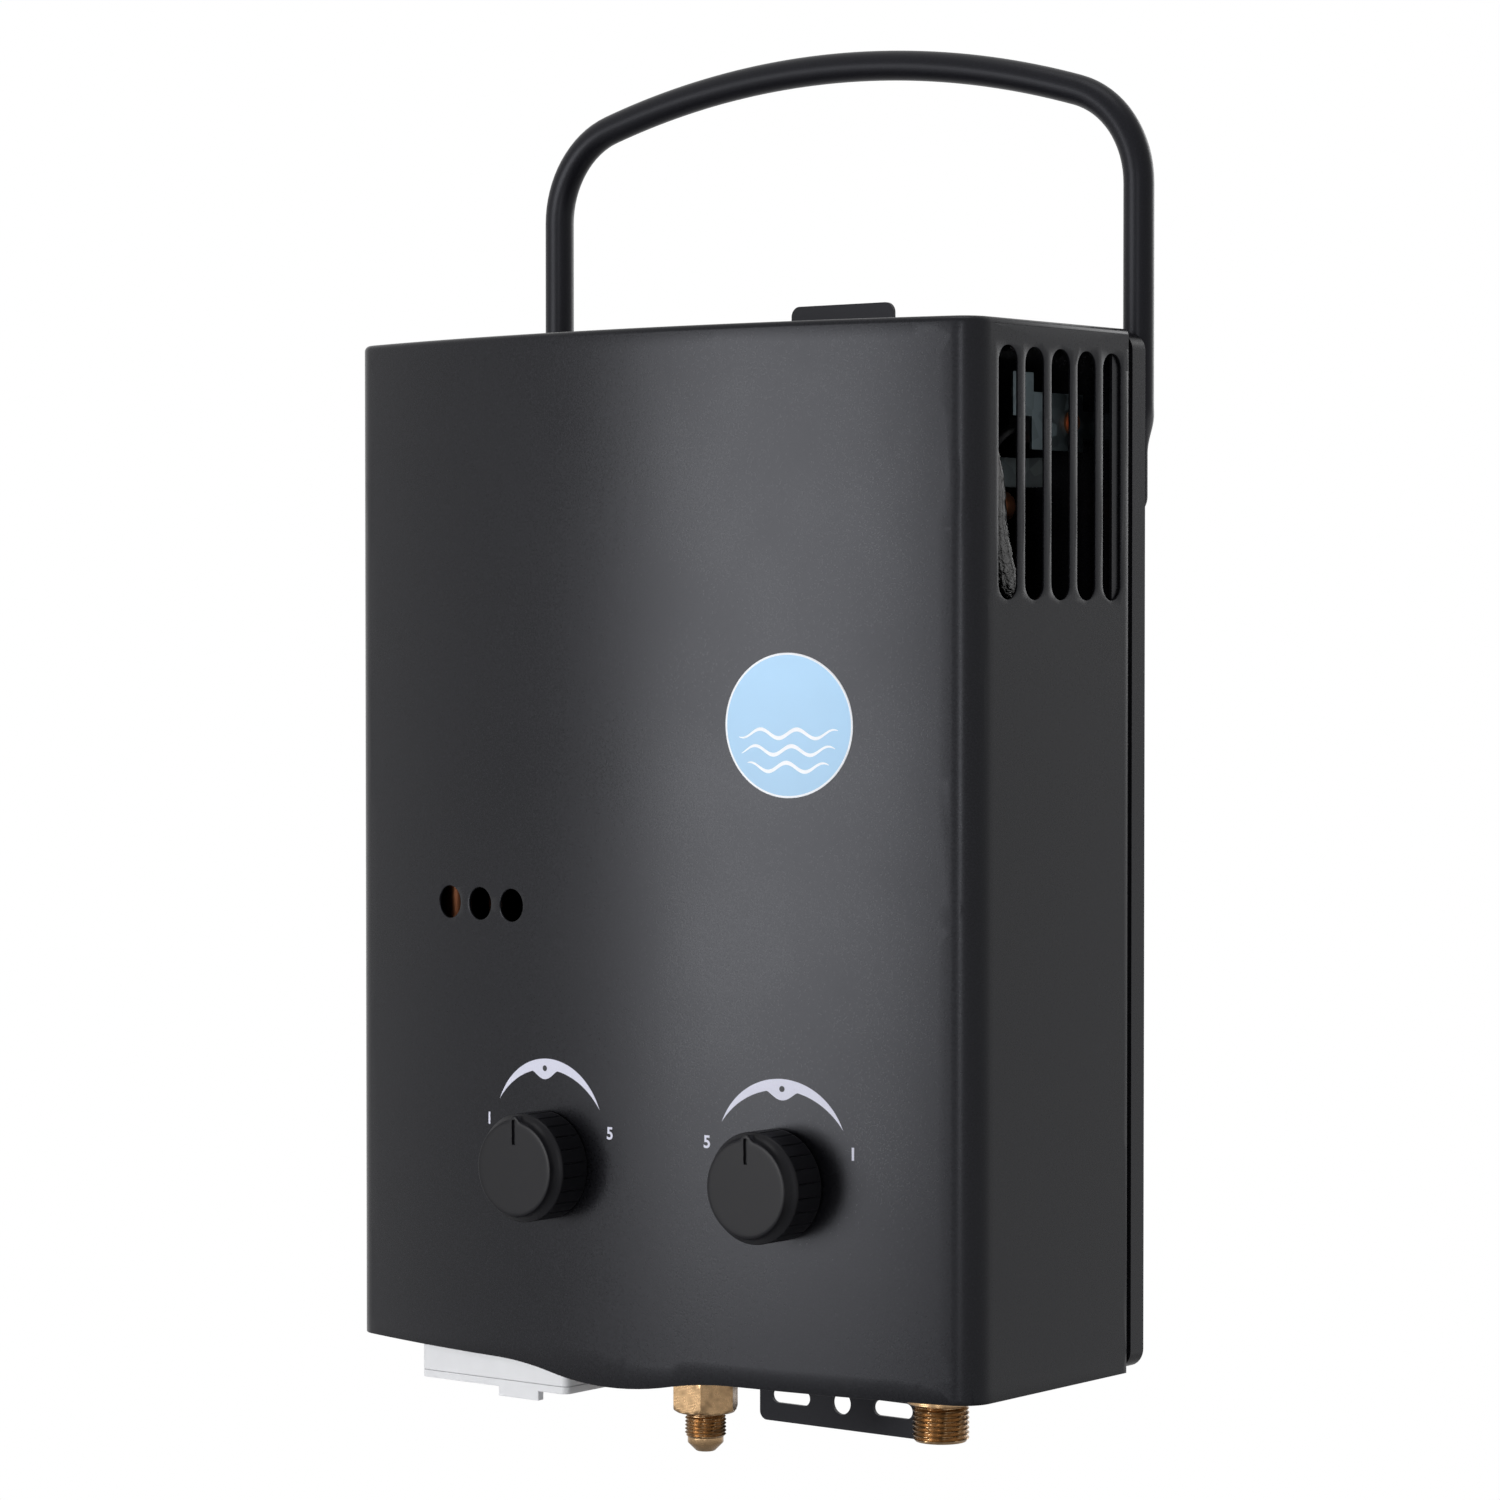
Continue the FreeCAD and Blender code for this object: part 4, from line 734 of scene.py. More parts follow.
def make_label(sizes):
    """Round vinyl sticker with a white rim and a few plain wave lines."""
    plan = CoverPlan(sizes)
    radius = mm(sizes.label_radius)
    cx, cz = LABEL_X, FOOT + LABEL_HIGH
    shape = bmesh.new()
    levels = [(radius * i / 8, 0.02) for i in range(9)]
    levels += [(radius, 0.2), (radius - 0.06, 0.25), (radius - 0.75, 0.25)]
    levels += [(radius * i / 10, 0.25) for i in range(9, -1, -1)]
    round_film(shape, plan, cx, cz, levels, 96)
    shape.normal_update()
    for face in shape.faces:
        middle = face.calc_center_median()
        away = math.hypot(middle.x - cx, middle.z - cz)
        face.material_index = 1 if away > radius - 0.76 else 0
    for index in range(sizes.wave_count):
        height = cz - 3.0 - 6.0 * index
        reach = 0.78 * math.sqrt(radius ** 2 - (height - cz) ** 2)
        columns = []
        for x in spread(-reach, reach, 60):
            wave = 1.6 * math.sin(2 * math.pi * x / 15.0 + 0.9 * index)
            thin = 0.75 * math.sqrt(max(0.02, 1 - (x / reach) ** 2))
            columns.append(((cx + x, height + wave - thin), (cx + x, height + wave + thin)))
        printed_strip(shape, plan, columns, 0.24, 0.28, 1)
    face_outwards(shape)
    emit("label_sticker", shape, "label_blue", ("label_disc",),
         looks=["label_blue", "label_white"])


def arc_height(start, top, end, x):
    """Height at X of the circle through three points."""
    (x1, y1), (x2, y2), (x3, y3) = start, top, end
    d = 2 * (x1 * (y2 - y3) + x2 * (y3 - y1) + x3 * (y1 - y2))
    ux = ((x1 ** 2 + y1 ** 2) * (y2 - y3) + (x2 ** 2 + y2 ** 2) * (y3 - y1)
          + (x3 ** 2 + y3 ** 2) * (y1 - y2)) / d
    uy = ((x1 ** 2 + y1 ** 2) * (x3 - x2) + (x2 ** 2 + y2 ** 2) * (x1 - x3)
          + (x3 ** 2 + y3 ** 2) * (x2 - x1)) / d
    return uy + math.sqrt(max(0.0, (x1 - ux) ** 2 + (y1 - uy) ** 2 - (x - ux) ** 2))


def digit(shape, plan, text, x, z, size):
    """One plain printed digit, set upright on the bowed front."""
    curve = bpy.data.curves.new("digit", "FONT")
    curve.body, curve.size = text, size
    curve.offset, curve.extrude = 0.022 * size, 0.04
    curve.align_x = curve.align_y = "CENTER"
    holder = put("digit", curve)
    flat = bpy.data.meshes.new_from_object(
        holder.evaluated_get(bpy.context.evaluated_depsgraph_get()))
    for vert in flat.vertices:
        vert.co = on_bow(plan, x + vert.co.x, FOOT + z + vert.co.y, 0.06 + vert.co.z)
    shape.from_mesh(flat)
    bpy.data.objects.remove(holder)
    bpy.data.curves.remove(curve)
    bpy.data.meshes.remove(flat)


def make_dials(sizes):
    """Printed dials over both knobs: a tapered arc with a bump and plain end numbers."""
    plan = CoverPlan(sizes)
    # start, top and end of the arc, then both numbers with their places
    dials = [((-59.8, 98.0), (-35.8, 114.4), (-8.4, 97.0), ("1", -65.6, 89.9), ("5", -3.4, 88.4)),
             ((47.7, 96.2), (73.1, 112.9), (97.7, 95.6), ("5", 41.2, 88.2), ("1", 101.6, 87.1))]
    shape = bmesh.new()
    for start, top, end, *numbers in dials:
        low_top = (top[0], top[1] - 4.0)
        columns = []
        for step in spread(0.0, 1.0, 96):
            x = start[0] + (end[0] - start[0]) * step
            upper = arc_height(start, top, end, x)
            lower = arc_height(start, low_top, end, x)
            away = abs(x - top[0])
            bump = 3.7 * (1 - min(1.0, away / 6.4) ** 2) ** 1.4
            columns.append(((x, FOOT + min(lower, upper - 0.05) - bump), (x, FOOT + upper)))
        printed_strip(shape, plan, columns, 0.01, 0.08)
        for number in numbers:
            digit(shape, plan, *number, 6.4)
    face_outwards(shape)
    emit("dial_prints", shape, "cover_black", (), 30.0, looks=["dial_ink"])
    dots = bmesh.new()
    for _, (x, high), *_ in dials:
        round_film(dots, plan, x, FOOT + high - 3.6,
                   [(0, 0.07), (1.1, 0.07), (1.1, 0.11), (0, 0.11)], 24)
    face_outwards(dots)
    emit("dial_dots", dots, "cover_black", (), 30.0, looks=["dial_dark"])


# Repeats made by node trees

def node_tree(name, **sockets):
    """A geometry tree with a geometry input and output and its named inputs."""
    tree = bpy.data.node_groups.new(name, "GeometryNodeTree")
    for label, kind in {"Geometry": "Geometry", **sockets}.items():
        tree.interface.new_socket(label, in_out="INPUT", socket_type=f"NodeSocket{kind}")
    tree.interface.new_socket("Geometry", in_out="OUTPUT", socket_type="NodeSocketGeometry")
    return tree, add(tree, "NodeGroupInput")


def end_tree(tree, geometry, material):
    """Ends a tree in realised instances and a set material."""
    real = add(tree, "GeometryNodeRealizeInstances", {"Geometry": geometry})
    worn = add(tree, "GeometryNodeSetMaterial", {"Geometry": real, "Material": material})
    add(tree, "NodeGroupOutput", {"Geometry": worn})


def run_tree(obj, tree, values):
    """Runs a tree on an object and keeps the result as its plain mesh."""
    step = obj.modifiers.new("nodes", "NODES")
    step.node_group = tree
    for item in tree.interface.items_tree:
        if item.in_out == "INPUT" and item.name in values:
            step[item.identifier] = values[item.name]
    flatten(obj)


@cache
def repeat_tree():
    """Sets one object at every point, turned one way."""
    tree, given = node_tree("repeat_at_points", Pattern="Object", Turn="Vector",
                            Material="Material")
    pattern = add(tree, "GeometryNodeObjectInfo", {"Object": given.outputs["Pattern"]},
                  transform_space="ORIGINAL")
    turn = add(tree, "FunctionNodeEulerToRotation", {0: given.outputs["Turn"]})
    placed = add(tree, "GeometryNodeInstanceOnPoints", {
        "Points": given.outputs["Geometry"], "Instance": pattern.outputs["Geometry"],
        "Rotation": turn})
    end_tree(tree, placed, given.outputs["Material"])
    return tree


@cache
def grip_tree():
    """Presses evenly spaced grooves into a knob whose axis runs along Z."""
    tree, given = node_tree("grip_grooves", Count="Float", Depth="Float", Start="Float",
                            End="Float", Radius="Float", Material="Material")
    place = add(tree, "GeometryNodeInputPosition")
    split = add(tree, "ShaderNodeSeparateXYZ", {0: place})
    angle = add(tree, "ShaderNodeMath", {0: split.outputs["Y"], 1: split.outputs["X"]},
                operation="ARCTAN2")
    phase = add(tree, "ShaderNodeMath", {0: angle, 1: given.outputs["Count"]},
                operation="MULTIPLY")
    wave = add(tree, "ShaderNodeMath", {0: phase}, operation="COSINE")
    groove = add(tree, "ShaderNodeMapRange", {"Value": wave, "From Min": -0.86,
                                              "From Max": -1.0}, interpolation_type="SMOOTHSTEP")
    late = add(tree, "ShaderNodeMath", {0: split.outputs["Z"], 1: given.outputs["Start"]},
               operation="GREATER_THAN")
    early = add(tree, "ShaderNodeMath", {0: split.outputs["Z"], 1: given.outputs["End"]},
                operation="LESS_THAN")
    flat = add(tree, "ShaderNodeCombineXYZ", {0: split.outputs["X"], 1: split.outputs["Y"]})
    away = add(tree, "ShaderNodeVectorMath", {0: flat}, operation="LENGTH")
    outer = add(tree, "ShaderNodeMath", {0: away.outputs["Value"], 1: given.outputs["Radius"]},
                operation="GREATER_THAN")
    depth = given.outputs["Depth"]
    for factor in (groove, late, early, outer):
        depth = add(tree, "ShaderNodeMath", {0: depth, 1: factor}, operation="MULTIPLY")
    inward = add(tree, "ShaderNodeVectorMath", {0: flat}, operation="NORMALIZE")
    back = add(tree, "ShaderNodeMath", {0: depth, 1: -1.0}, operation="MULTIPLY")
    shift = add(tree, "ShaderNodeVectorMath", {0: inward, "Scale": back}, operation="SCALE")
    moved = add(tree, "GeometryNodeSetPosition", {"Geometry": given.outputs["Geometry"],
                                                  "Offset": shift})
    end_tree(tree, moved, given.outputs["Material"])
    return tree


def repeat(name, pattern, points, turn, slot, node):
    """Repeats a pattern at points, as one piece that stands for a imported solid."""
    source = put("pattern", pattern)
    dots = bmesh.new()
    for point in points:
        dots.verts.new(point)
    obj = put(name, dots)
    run_tree(obj, repeat_tree(), {"Pattern": source, "Turn": turn, "Material": LOOKS[slot]})
    bpy.data.objects.remove(source)
    declare(obj, (node,), 35.0)


def turned(profile, steps, centre=(0, 0), closed=True):
    """A shape whose profile of radius and height is turned round an upright axis; a radius may
    be a function of the angle and the height."""
    rings = []
    x, y = centre
    for radius, height in profile:
        if radius == 0:
            rings.append([(x, y, height)])
            continue
        ring = []
        for turn in turns(steps):
            r = radius(turn, height) if callable(radius) else radius
            ring.append((x + r * math.cos(turn), y + r * math.sin(turn), height))
        rings.append(ring)
    shape = bmesh.new()
    loop_faces(shape, rings, closed_along=closed)
    face_outwards(shape)
    return shape


def screw_pattern(head, high, shank, depth):
    """A pan-head screw that points down, with a cross-shaped recess in its head."""
    def cross(size):
        return lambda turn, z: size * head * (0.38 + 0.62 * abs(math.cos(2 * turn)) ** 5)

    profile = [(0, high * 0.3), (cross(0.396), high * 0.32), (cross(0.55), high * 0.97),
               (head * 0.72, high), (head * 0.9, high * 0.84), (head, high * 0.45), (head, 0.0),
               (shank, 0.0), (shank, -depth + 0.6), (shank * 0.7, -depth), (0, -depth)]
    return turned(profile, 32, closed=False)


def make_screws():
    """Screws in the back plate, the cover, the handle and the diaphragm case."""
    rear, left, up = (math.radians(-90), 0, 0), (0, math.radians(-90), 0), (0, 0, 0)
    bracket = [(side * x, BACK_FACE + 1.5, FOOT + z) for side in (-1, 1)
               for x, z in ((14, 340), (28, 16))]
    handle = [(side * LEG_X, BACK_FACE + 2.4, FOOT + LEG_SCREW) for side in (-1, 1)]
    top = [(x, y, FOOT + 385) for x, y in COVER_SCREWS]
    case = [(22.0, y, z) for y, z in disc(-76, FOOT + KNOB_HIGH, 26.5, 12)[1::2]]
    for name, node, head, points, turn in (
            ("bracket", "bracket_screws", (3.8, 1.9, 1.9, 4.5), bracket, rear),
            ("handle", "handle_screws", (3.8, 1.9, 1.9, 5.0), handle, rear),
            ("cover", "cover_screws", (3.4, 1.7, 1.7, 6.5), top, up),
            ("case", "diaphragm_screws", (3.0, 2.2, 1.6, 0.8), case, left)):
        repeat(f"{name}_screw_heads", screw_pattern(*head), points, turn, "steel", node)


# Knobs

def pointer_reach(turn, radius):
    """Radius of the knob's face edge, with the small bulge over its pointer."""
    away = abs((turn - math.pi / 2 + math.pi) % (2 * math.pi) - math.pi) * radius
    return radius + 2.3 * math.exp(-(away / 2.0) ** 2)


def knob_mesh(controls):
    """A knob with its axis along Z: the face at height 0 and the base behind it at knob_depth."""
    face, grip, depth = mm(controls.knob_face), mm(controls.knob_radius), mm(controls.knob_depth)

    def edge(inset):
        return lambda turn, z: pointer_reach(turn, face) - inset

    def blend(part, radius):
        return lambda turn, z: pointer_reach(turn, face) * (1 - part) + radius * part

    front = [(radius, 0.0) for radius in (0, 4.0, 8.0, 12.0, 15.2, edge(1.2))]
    roll = [(edge(0.35), 0.05), (edge(0.08), 0.22), (edge(0.0), 0.55), (blend(0.25, 18.4), 1.6),
            (blend(0.6, 18.9), 2.8), (blend(1.0, 19.3), 3.7), (grip - 0.35, 4.1),
            (grip - 0.05, 4.5)]
    side = [(grip, z) for z in (4.9, 5.3, 5.32, 8.0, 12.0, 16.5, depth - 0.5)]
    rear = [(grip - 0.15, depth - 0.15), (grip - 0.5, depth), (17.6, depth), (17.6, depth - 5.0),
            (7.0, depth - 5.0), (7.0, depth), (4.0, depth), (4.0, depth - 9.0), (0, depth - 9.0)]
    return turned(front + roll + side + rear, 288, closed=False)


def make_knob(name, controls, x, base):
    """Moulded knob with a grooved grip, a rolled face edge and a sunk pointer line."""
    shape = knob_mesh(controls)
    pointer_line(shape, mm(controls.knob_face))
    face_outwards(shape)
    obj = put(f"{name}_moulded", shape)
    run_tree(obj, grip_tree(), {
        "Count": float(controls.groove_count), "Depth": controls.groove_depth, "Start": 5.31 * MM,
        "End": controls.knob_depth - 0.6 * MM, "Radius": controls.knob_radius - 0.1 * MM,
        "Material": LOOKS["knob_black"]})
    front = base - mm(controls.knob_depth)
    turn = Matrix(((1, 0, 0), (0, 0, 1), (0, 1, 0))).to_4x4()
    place = Matrix.Translation(Vector((x, front, FOOT + KNOB_HIGH)) * MM)
    obj.data.transform(place @ turn)
    obj.data.flip_normals()
    declare(obj, (name,), 35.0, name.replace("_knob", "_control"))


def pointer_line(shape, face):
    """Cuts the face finely round the pointer and sinks the line into it."""
    for x in (-0.95, -0.7, 0.7, 0.95):
        split_face(shape, (x, 0, 0), (1, 0, 0))
    for y in (8.9, 9.2, face + 0.4, face + 0.7):
        split_face(shape, (0, y, 0), (0, 1, 0))
    for vert in shape.verts:
        x, y, z = vert.co
        if z < 0.02 and abs(x) < 0.75 and 9.1 < y < face + 0.5:
            vert.co.z = 1.0  # depth of the line


def split_face(shape, point, normal):
    """Cuts the flat face of a knob along one line near its pointer."""
    near = [f for f in shape.faces
            if all(v.co.z < 0.04 and abs(v.co.x) < 4.5 and v.co.y > 3.5 for v in f.verts)]
    geom = near + list({part for f in near for part in (*f.verts, *f.edges)})
    bmesh.ops.bisect_plane(shape, geom=geom, dist=1e-4, plane_co=point, plane_no=normal)


# Brass fittings

def thread(major, depth, pitch, low, high, chamfer):
    """Radius of a screw thread over angle and height, with chamfered ends."""
    def radius(turn, z):
        phase = (z / pitch - turn / (2 * math.pi)) % 1.0
        ridge = min(1.0, max(0.0, (abs(2 * phase - 1) - 0.08) / 0.84))
        ends = min(z - low, high - z) + 0.02
        return min(major - depth * (1 - ridge), major - chamfer + max(0.0, ends))
    return radius


def thread_rings(radius, pitch, low, high):
    """Rings of a thread, ten to a pitch."""
    return [(radius, z) for z in spread(low, high, int(10 * (high - low) / pitch))]


def hexagon(corner, low, chamfer_low, high, chamfer_high):
    """Radius of a hexagon over angle and height, with its corners turned off at the ends."""
    flat = corner * math.cos(math.pi / 6)

    def radius(turn, z):
        side = (turn % (math.pi / 3)) - math.pi / 6
        limit = min(flat - 0.35 + (z - low) * chamfer_low, flat - 0.35 + (high - z) * chamfer_high)
        return min(flat / math.cos(side), max(flat - 0.35, limit))
    return radius


def from_foot(profile):
    """A profile whose heights are given from the foot of the cover."""
    return [(radius, FOOT + height) for radius, height in profile]


def make_gas_inlet(controls):
    """Brass flare fitting: nose, thread, chamfered hexagon and collar."""
    pitch = mm(controls.gas_pitch)
    low, high = FOOT - 35.0, FOOT - 26.6
    screw = thread(7.94, 0.75, pitch, low, high, 0.9)
    hexa = hexagon(13.3, FOOT - 25.5, 1.5, FOOT - 8.0, 2.0)
    profile = from_foot([(2.4, 2), (2.4, -40.2), (2.8, -40.6), (3.4, -40.6), (3.8, -40.4),
                         (6.75, -37.45), (6.9, -37.2), (6.9, -35.2)])
    profile += thread_rings(screw, pitch, low, high)
    levels = (-25.5, -25.0, -24.4, -23.6, -22.6, -15.0, -9.4, -8.7, -8.3, -8.0)
    profile += from_foot([(6.7, -26.4), (6.7, -25.7), (10.4, -25.5), *((hexa, z) for z in levels),
                          (10.5, -7.9), (10.5, 14.0), (2.4, 14.0)])
    emit("gas_inlet_turned", turned(profile, 96, (-17.6, -65.0)), "brass", ("gas_inlet",), 38.0)


def make_water_union(node, controls, x, y, seat, top):
    """Brass water connection: threaded end, flange and spigot."""
    pitch = mm(controls.water_pitch)
    low, high = FOOT - 22.9, FOOT - 9.6
    screw = thread(10.48, 1.0, pitch, low, high, 1.2)
    profile = from_foot([(7.2, 1), (7.2, -22.3), (7.7, -22.9), (9.1, -22.9)])
    profile += thread_rings(screw, pitch, low + 0.02, high)
    profile += from_foot([(9.3, -9.4), (9.3, -9.05), (12.1, -9.0), (12.4, -8.7), (12.4, seat),
                          (9.5, seat), (9.5, top), (7.2, top)])
    emit(f"{node}_turned", turned(profile, 96, (x, y)), "brass", (node,), 38.0)


# Inside

def make_fins(controls):
    """Copper fins of the heat exchanger, each with holes for the four passes of tube."""
    front, rear, low, high = -111.0, -33.0, FOOT + 303.0, FOOT + 337.0
    shape = bmesh.new()
    outline = [(front, low), (rear, low), (rear, high)]
    for index, y in enumerate(spread(rear, front, 26)[1:-1]):
        outline.append((y, high - (1.5 if index % 2 else 0.0)))
    outline.append((front, high))
    holes = [disc(y, FOOT + 320.0, 6.1, 20) for y in (-42.0, -62.0, -82.0, -102.0)]
    fill(shape, [outline] + holes, lambda y, z: (0.0, y, z))
    skin = bmesh.ops.extrude_face_region(shape, geom=shape.faces[:])
    moved = [v for v in skin["geom"] if isinstance(v, bmesh.types.BMVert)]
    bmesh.ops.translate(shape, vec=(0.35, 0, 0), verts=moved)
    face_outwards(shape)
    points = [(x, 0, 0) for x in spread(-85.0, 84.6, controls.fin_count - 1)]
    repeat("exchanger_fin_stack", shape, points, (0, 0, 0), "copper", "exchanger_fins")


def smooth_route(points, steps):
    """Points of the quadratic spline over a route, which touches both its ends."""
    out = []
    middle = [(a + b) / 2 for a, b in zip(points, points[1:])]
    middle[0], middle[-1] = points[0], points[-1]
    for start, control, end in zip(middle, points[1:-1], middle[1:]):
        for t in spread(0, 1, steps)[:-1]:
            out.append(start * (1 - t) ** 2 + control * 2 * t * (1 - t) + end * t * t)
    return out + [middle[-1]]


def make_bundle():
    """Bundle of leads under shiny tape, wound in overlapping turns."""
    route = [(122, -104, 366), (128, -96, 350), (132, -88, 332), (129, -82, 308), (132, -76, 284),
             (131, -70, 262), (131, -70, 240), (132, -62, 214), (130, -50, 188), (129, -37, 162),
             (130, -30, 142), (130, -30, 122)]
    line = smooth_route([Vector((x, y, FOOT + z)) for x, y, z in route], 26)
    rings = []
    side = Vector((1, 0, 0))
    run = 0.0
    for index, point in enumerate(line):
        ahead = line[min(index + 1, len(line) - 1)] - line[max(index - 1, 0)]
        ahead.normalize()
        side = (side - ahead * side.dot(ahead)).normalized()
        other = ahead.cross(side)
        if index:
            run += (point - line[index - 1]).length
        ring = []
        for turn in turns(28):
            lap = (run / 7.0 + turn / (2 * math.pi)) % 1.0
            lumps = 0.16 * math.sin(3 * turn + run * 0.11) + 0.12 * math.sin(5 * turn - run * 0.23)
            radius = 4.55 + 0.42 * lap + lumps
            ring.append(point + side * radius * math.cos(turn) + other * radius * math.sin(turn))
        rings.append(ring)
    shape = bmesh.new()
    capped_faces(shape, rings)
    face_outwards(shape)
    emit("cable_bundle_wrapped", shape, "tape_black", ("cable_bundle",), 45.0)


# Stage

def soft_lamp(name, place, wide, high, energy):
    """A rectangular softbox that faces the middle of the object."""
    lamp = bpy.data.lights.new(name, "AREA")
    lamp.shape = "RECTANGLE"
    lamp.size, lamp.size_y, lamp.energy = wide, high, energy
    obj = put(name, lamp)
    obj.location = place
    aim = Vector((0.0, -0.07, -0.18)) - Vector(place)
    obj.rotation_euler = aim.to_track_quat("-Z", "Y").to_euler()


def ray_is(tree, *kinds):
    """1 where the ray is of one of these kinds, and 0 elsewhere."""
    path = add(tree, "ShaderNodeLightPath")
    seen = path.outputs[f"Is {kinds[0]} Ray"]
    for kind in kinds[1:]:
        seen = add(tree, "ShaderNodeMath", {0: seen, 1: path.outputs[f"Is {kind} Ray"]},
                   operation="MAXIMUM")
    return seen


def white_world():
    """A world that is white where it is seen and a soft grey where it lights."""
    world = bpy.data.worlds.new("studio")
    bpy.context.scene.world = world
    world.use_nodes = True
    tree = world.node_tree
    tree.nodes.clear()
    seen = ray_is(tree, "Camera", "Glossy", "Transmission")
    light, white = (add(tree, "ShaderNodeBackground", {"Color": (1, 1, 1, 1), "Strength": power})
                    for power in (0.15, 1.0))
    mixed = add(tree, "ShaderNodeMixShader", {0: seen, 1: light, 2: white})
    add(tree, "ShaderNodeOutputWorld", {"Surface": mixed})


def floor_finish():
    """Pale floor that keeps the shadow and fades to white away from the object."""
    look, tree, place = new_finish("floor_paper_matt")
    away = add(tree, "ShaderNodeVectorMath", {0: place}, operation="LENGTH")
    far = add(tree, "ShaderNodeMapRange", {"Value": away.outputs["Value"], "From Min": 700.0,
                                           "From Max": 1700.0}, interpolation_type="SMOOTHSTEP")
    seen = ray_is(tree, "Camera", "Glossy")
    both = add(tree, "ShaderNodeMath", {0: far, 1: seen}, operation="MULTIPLY")
    paper = add(tree, "ShaderNodeBsdfDiffuse", {"Color": (0.9, 0.9, 0.9, 1)})
    white = add(tree, "ShaderNodeEmission", {"Color": (1, 1, 1, 1), "Strength": 1.0})
    mixed = add(tree, "ShaderNodeMixShader", {0: both, 1: paper, 2: white})
    add(tree, "ShaderNodeOutputMaterial", {"Surface": mixed})
    return look


def make_stage():
    """Pale floor, soft lamps, white world and the camera of the photograph."""
    shape = bmesh.new()
    bmesh.ops.create_circle(shape, cap_ends=True, segments=96, radius=2600.0)
    floor = put("floor", shape)
    floor.data.materials.append(floor_finish())
    floor.location = (0, -0.1, -0.78)
    white_world()
    soft_lamp("key", (-0.81, -2.26, -0.12), 1.2, 1.0, 35.0)
    soft_lamp("right", (1.13, -2.12, -0.08), 0.16, 0.9, 7.0)
    soft_lamp("top", (0.1, -0.3, 1.9), 1.2, 0.8, 8.0)
    soft_lamp("rear", (0.2, 2.2, 0.5), 1.4, 1.2, 12.0)
    lens = bpy.data.cameras.new("camera")
    lens.sensor_width, lens.lens, lens.clip_start = 36.0, 111.55, 0.01
    camera = put("camera", lens)
    camera.location = (1.090, -1.457, -0.0994)
    camera.rotation_euler = (math.radians(90 - 1.42), 0.0, math.radians(37.96))
    bpy.context.scene.camera = camera
    bpy.context.scene.view_settings.view_transform = "Standard"


# Operators

class HeaterStep:
    """What every step shares: it can be undone."""
    bl_options = {"REGISTER", "UNDO"}


class HEATER_OT_finishes(HeaterStep, bpy.types.Operator):
    """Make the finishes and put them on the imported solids"""
    bl_idname = "heater.finishes"
    bl_label = "Finishes"

    def execute(self, context):
        make_finishes(context.scene.heater_colours)
        dress_nodes()
        return {"FINISHED"}


class HEATER_OT_cover(HeaterStep, bpy.types.Operator):
    """Build the folded front cover"""
    bl_idname = "heater.cover"
    bl_label = "Front cover"

    def execute(self, context):
        make_cover(context.scene.heater_casing)
        return {"FINISHED"}


class HEATER_OT_plates(HeaterStep, bpy.types.Operator):
    """Round the edges of the back plate, the floor and the wall brackets"""
    bl_idname = "heater.plates"
    bl_label = "Plates and brackets"

    def execute(self, context):
        for node, edge in (("back_plate", 0.2), ("upper_bracket", 0.3), ("lower_bracket", 0.3),
                           ("base_plate", 0.15)):
            dressed(node, edge)
        # The cutoff bracket wears the darker galvanised copy: painted shade for its place inside
        # the casing.
        dressed("cutoff_bracket", 0.15, look="zinc_painted_shade")
        return {"FINISHED"}


class HEATER_OT_handle(HeaterStep, bpy.types.Operator):
    """Build the carry handle"""
    bl_idname = "heater.handle"
    bl_label = "Carry handle"

    def execute(self, context):
        make_handle(context.scene.heater_casing)
        return {"FINISHED"}


class HEATER_OT_prints(HeaterStep, bpy.types.Operator):
    """Build the round label and the two printed dials"""
    bl_idname = "heater.prints"
    bl_label = "Label and dials"

    def execute(self, context):
        make_label(context.scene.heater_casing)
        make_dials(context.scene.heater_casing)
        return {"FINISHED"}


class HEATER_OT_knobs(HeaterStep, bpy.types.Operator):
    """Build both knobs"""
    bl_idname = "heater.knobs"
    bl_label = "Knobs"

    def execute(self, context):
        controls = context.scene.heater_controls
        make_knob("gas_knob", controls, GAS_X, -140.0)
        make_knob("water_knob", controls, WATER_X, -137.7)
        return {"FINISHED"}


class HEATER_OT_fittings(HeaterStep, bpy.types.Operator):
    """Build the brass gas and water connections"""
    bl_idname = "heater.fittings"
    bl_label = "Brass connections"

    def execute(self, context):
        controls = context.scene.heater_controls
        make_gas_inlet(controls)
        make_water_union("water_inlet", controls, 100.6, -75.0, 3.1, 8.0)
        make_water_union("hot_outlet", controls, -95.0, -26.0, 0.8, 12.0)
        return {"FINISHED"}


class HEATER_OT_battery(HeaterStep, bpy.types.Operator):
    """Round the edges of the battery box and its lid"""
    bl_idname = "heater.battery"
    bl_label = "Battery box"

    def execute(self, context):
        dressed("battery_box", 0.5)
        dressed("battery_lid", 0.5, "battery_door")
        return {"FINISHED"}


class HEATER_OT_screws(HeaterStep, bpy.types.Operator):
    """Build every screw"""
    bl_idname = "heater.screws"
    bl_label = "Screws"

    def execute(self, context):
        make_screws()
        return {"FINISHED"}


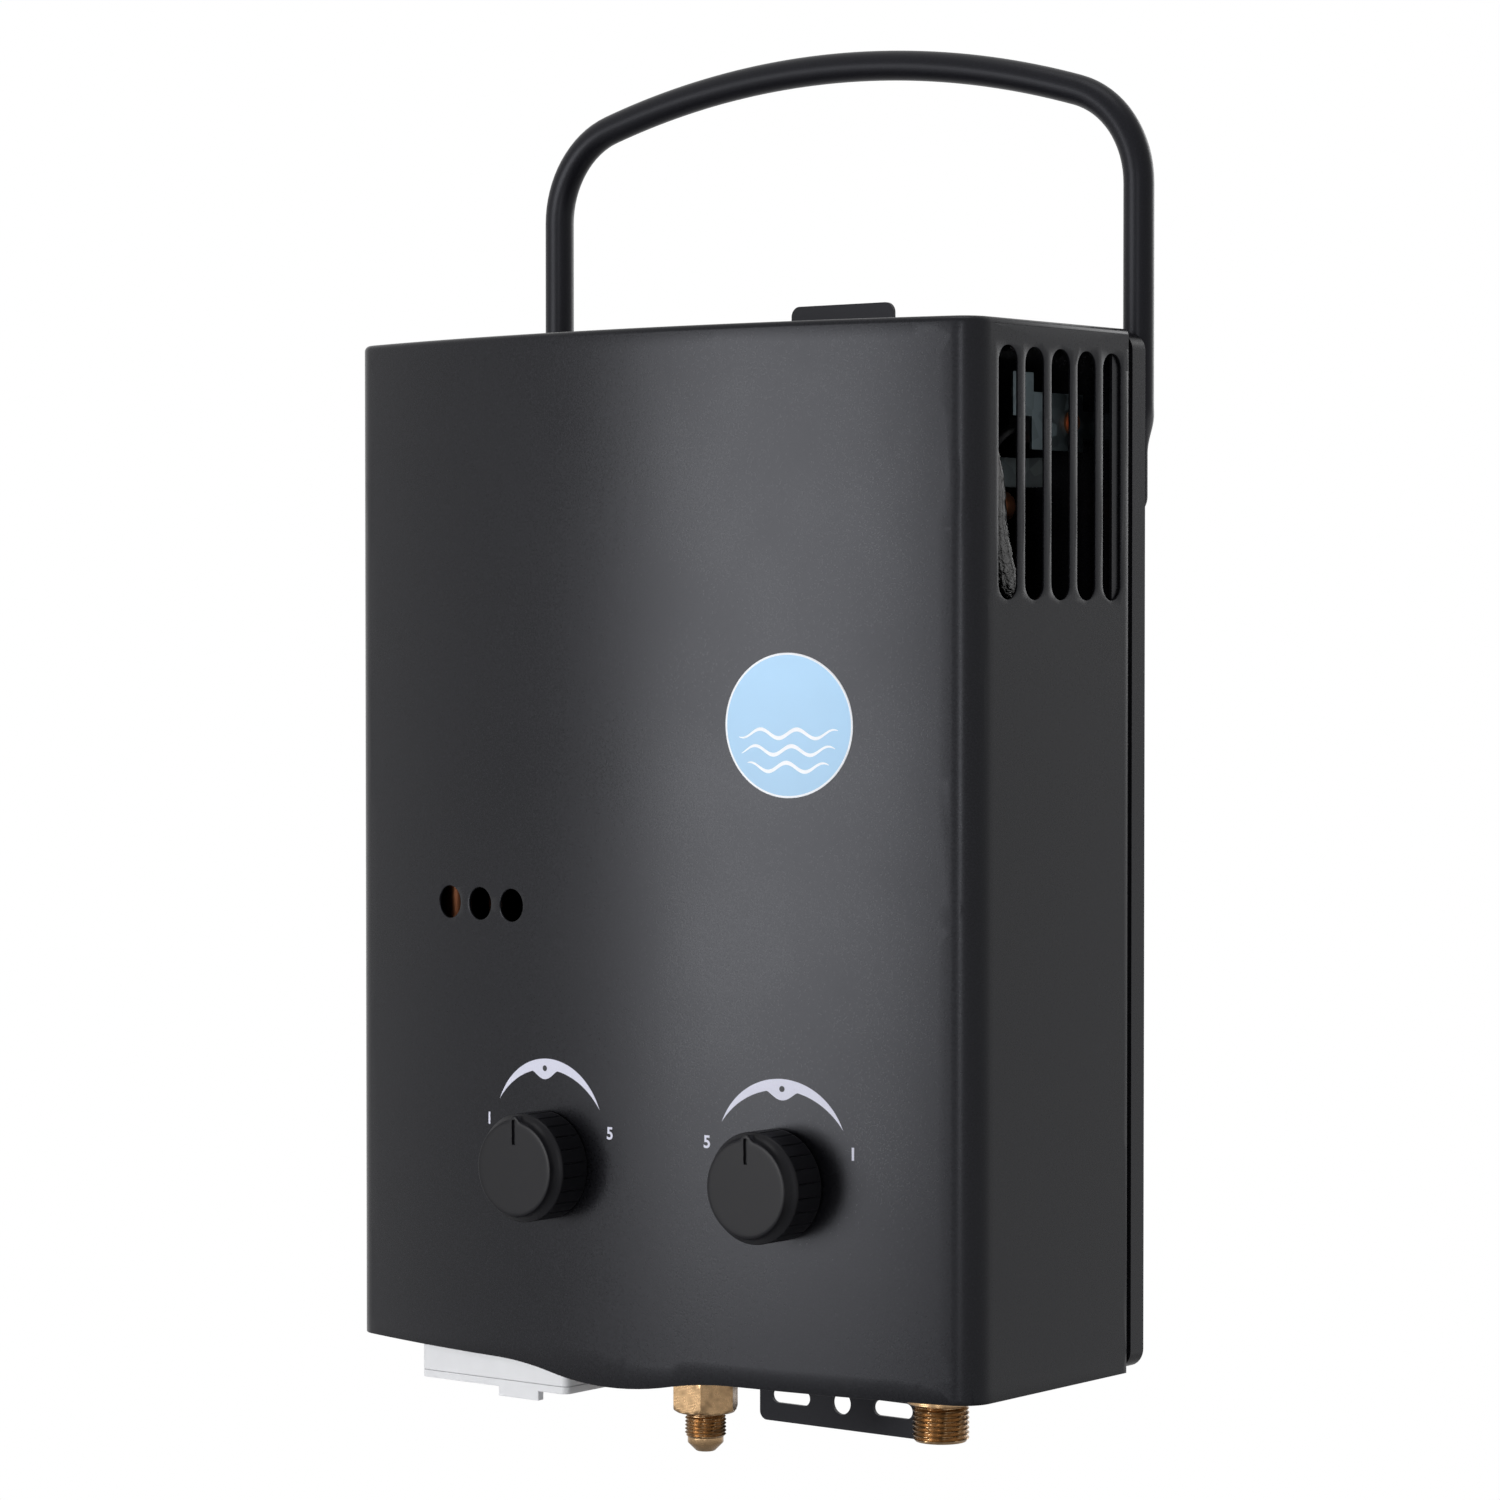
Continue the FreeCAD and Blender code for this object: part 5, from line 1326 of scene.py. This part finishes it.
class HEATER_OT_inside(HeaterStep, bpy.types.Operator):
    """Build the exchanger fins and the taped leads, and round the edges of the valves"""
    bl_idname = "heater.inside"
    bl_label = "Inside"

    def execute(self, context):
        make_fins(context.scene.heater_controls)
        make_bundle()
        for node, edge in (("gas_valve", 0.8), ("water_valve", 0.8), ("igniter_module", 0.5)):
            dressed(node, edge)
        return {"FINISHED"}


class HEATER_OT_stage(HeaterStep, bpy.types.Operator):
    """Build the floor, the lamps, the world and the camera"""
    bl_idname = "heater.stage"
    bl_label = "Stage"

    def execute(self, context):
        make_stage()
        return {"FINISHED"}


STEPS = (HEATER_OT_finishes, HEATER_OT_cover, HEATER_OT_plates, HEATER_OT_handle,
         HEATER_OT_prints, HEATER_OT_knobs, HEATER_OT_fittings, HEATER_OT_battery,
         HEATER_OT_screws, HEATER_OT_inside, HEATER_OT_stage)


class HEATER_PT_panel(bpy.types.Panel):
    """Sidebar panel with the steps and the values"""
    bl_idname = "HEATER_PT_panel"
    bl_label = "Water heater"
    bl_space_type = "VIEW_3D"
    bl_region_type = "UI"
    bl_category = "Heater"

    def draw(self, context):
        for step in STEPS:
            self.layout.operator(step.bl_idname)
        for group in (context.scene.heater_casing, context.scene.heater_controls,
                      context.scene.heater_colours):
            box = self.layout.box()
            for name in group.__annotations__:
                box.prop(group, name)


CLASSES = (HeaterCasing, HeaterControls, HeaterColours) + STEPS + (HEATER_PT_panel,)


def register():
    for item in CLASSES:
        bpy.utils.register_class(item)
    bpy.types.Scene.heater_casing = PointerProperty(type=HeaterCasing)
    bpy.types.Scene.heater_controls = PointerProperty(type=HeaterControls)
    bpy.types.Scene.heater_colours = PointerProperty(type=HeaterColours)


def unregister():
    del bpy.types.Scene.heater_casing
    del bpy.types.Scene.heater_controls
    del bpy.types.Scene.heater_colours
    for item in reversed(CLASSES):
        bpy.utils.unregister_class(item)


def main():
    """Builds everything in order."""
    register()
    for step in STEPS:
        group, name = step.bl_idname.split(".")
        getattr(getattr(bpy.ops, group), name)()


if __name__ == "__main__":
    main()
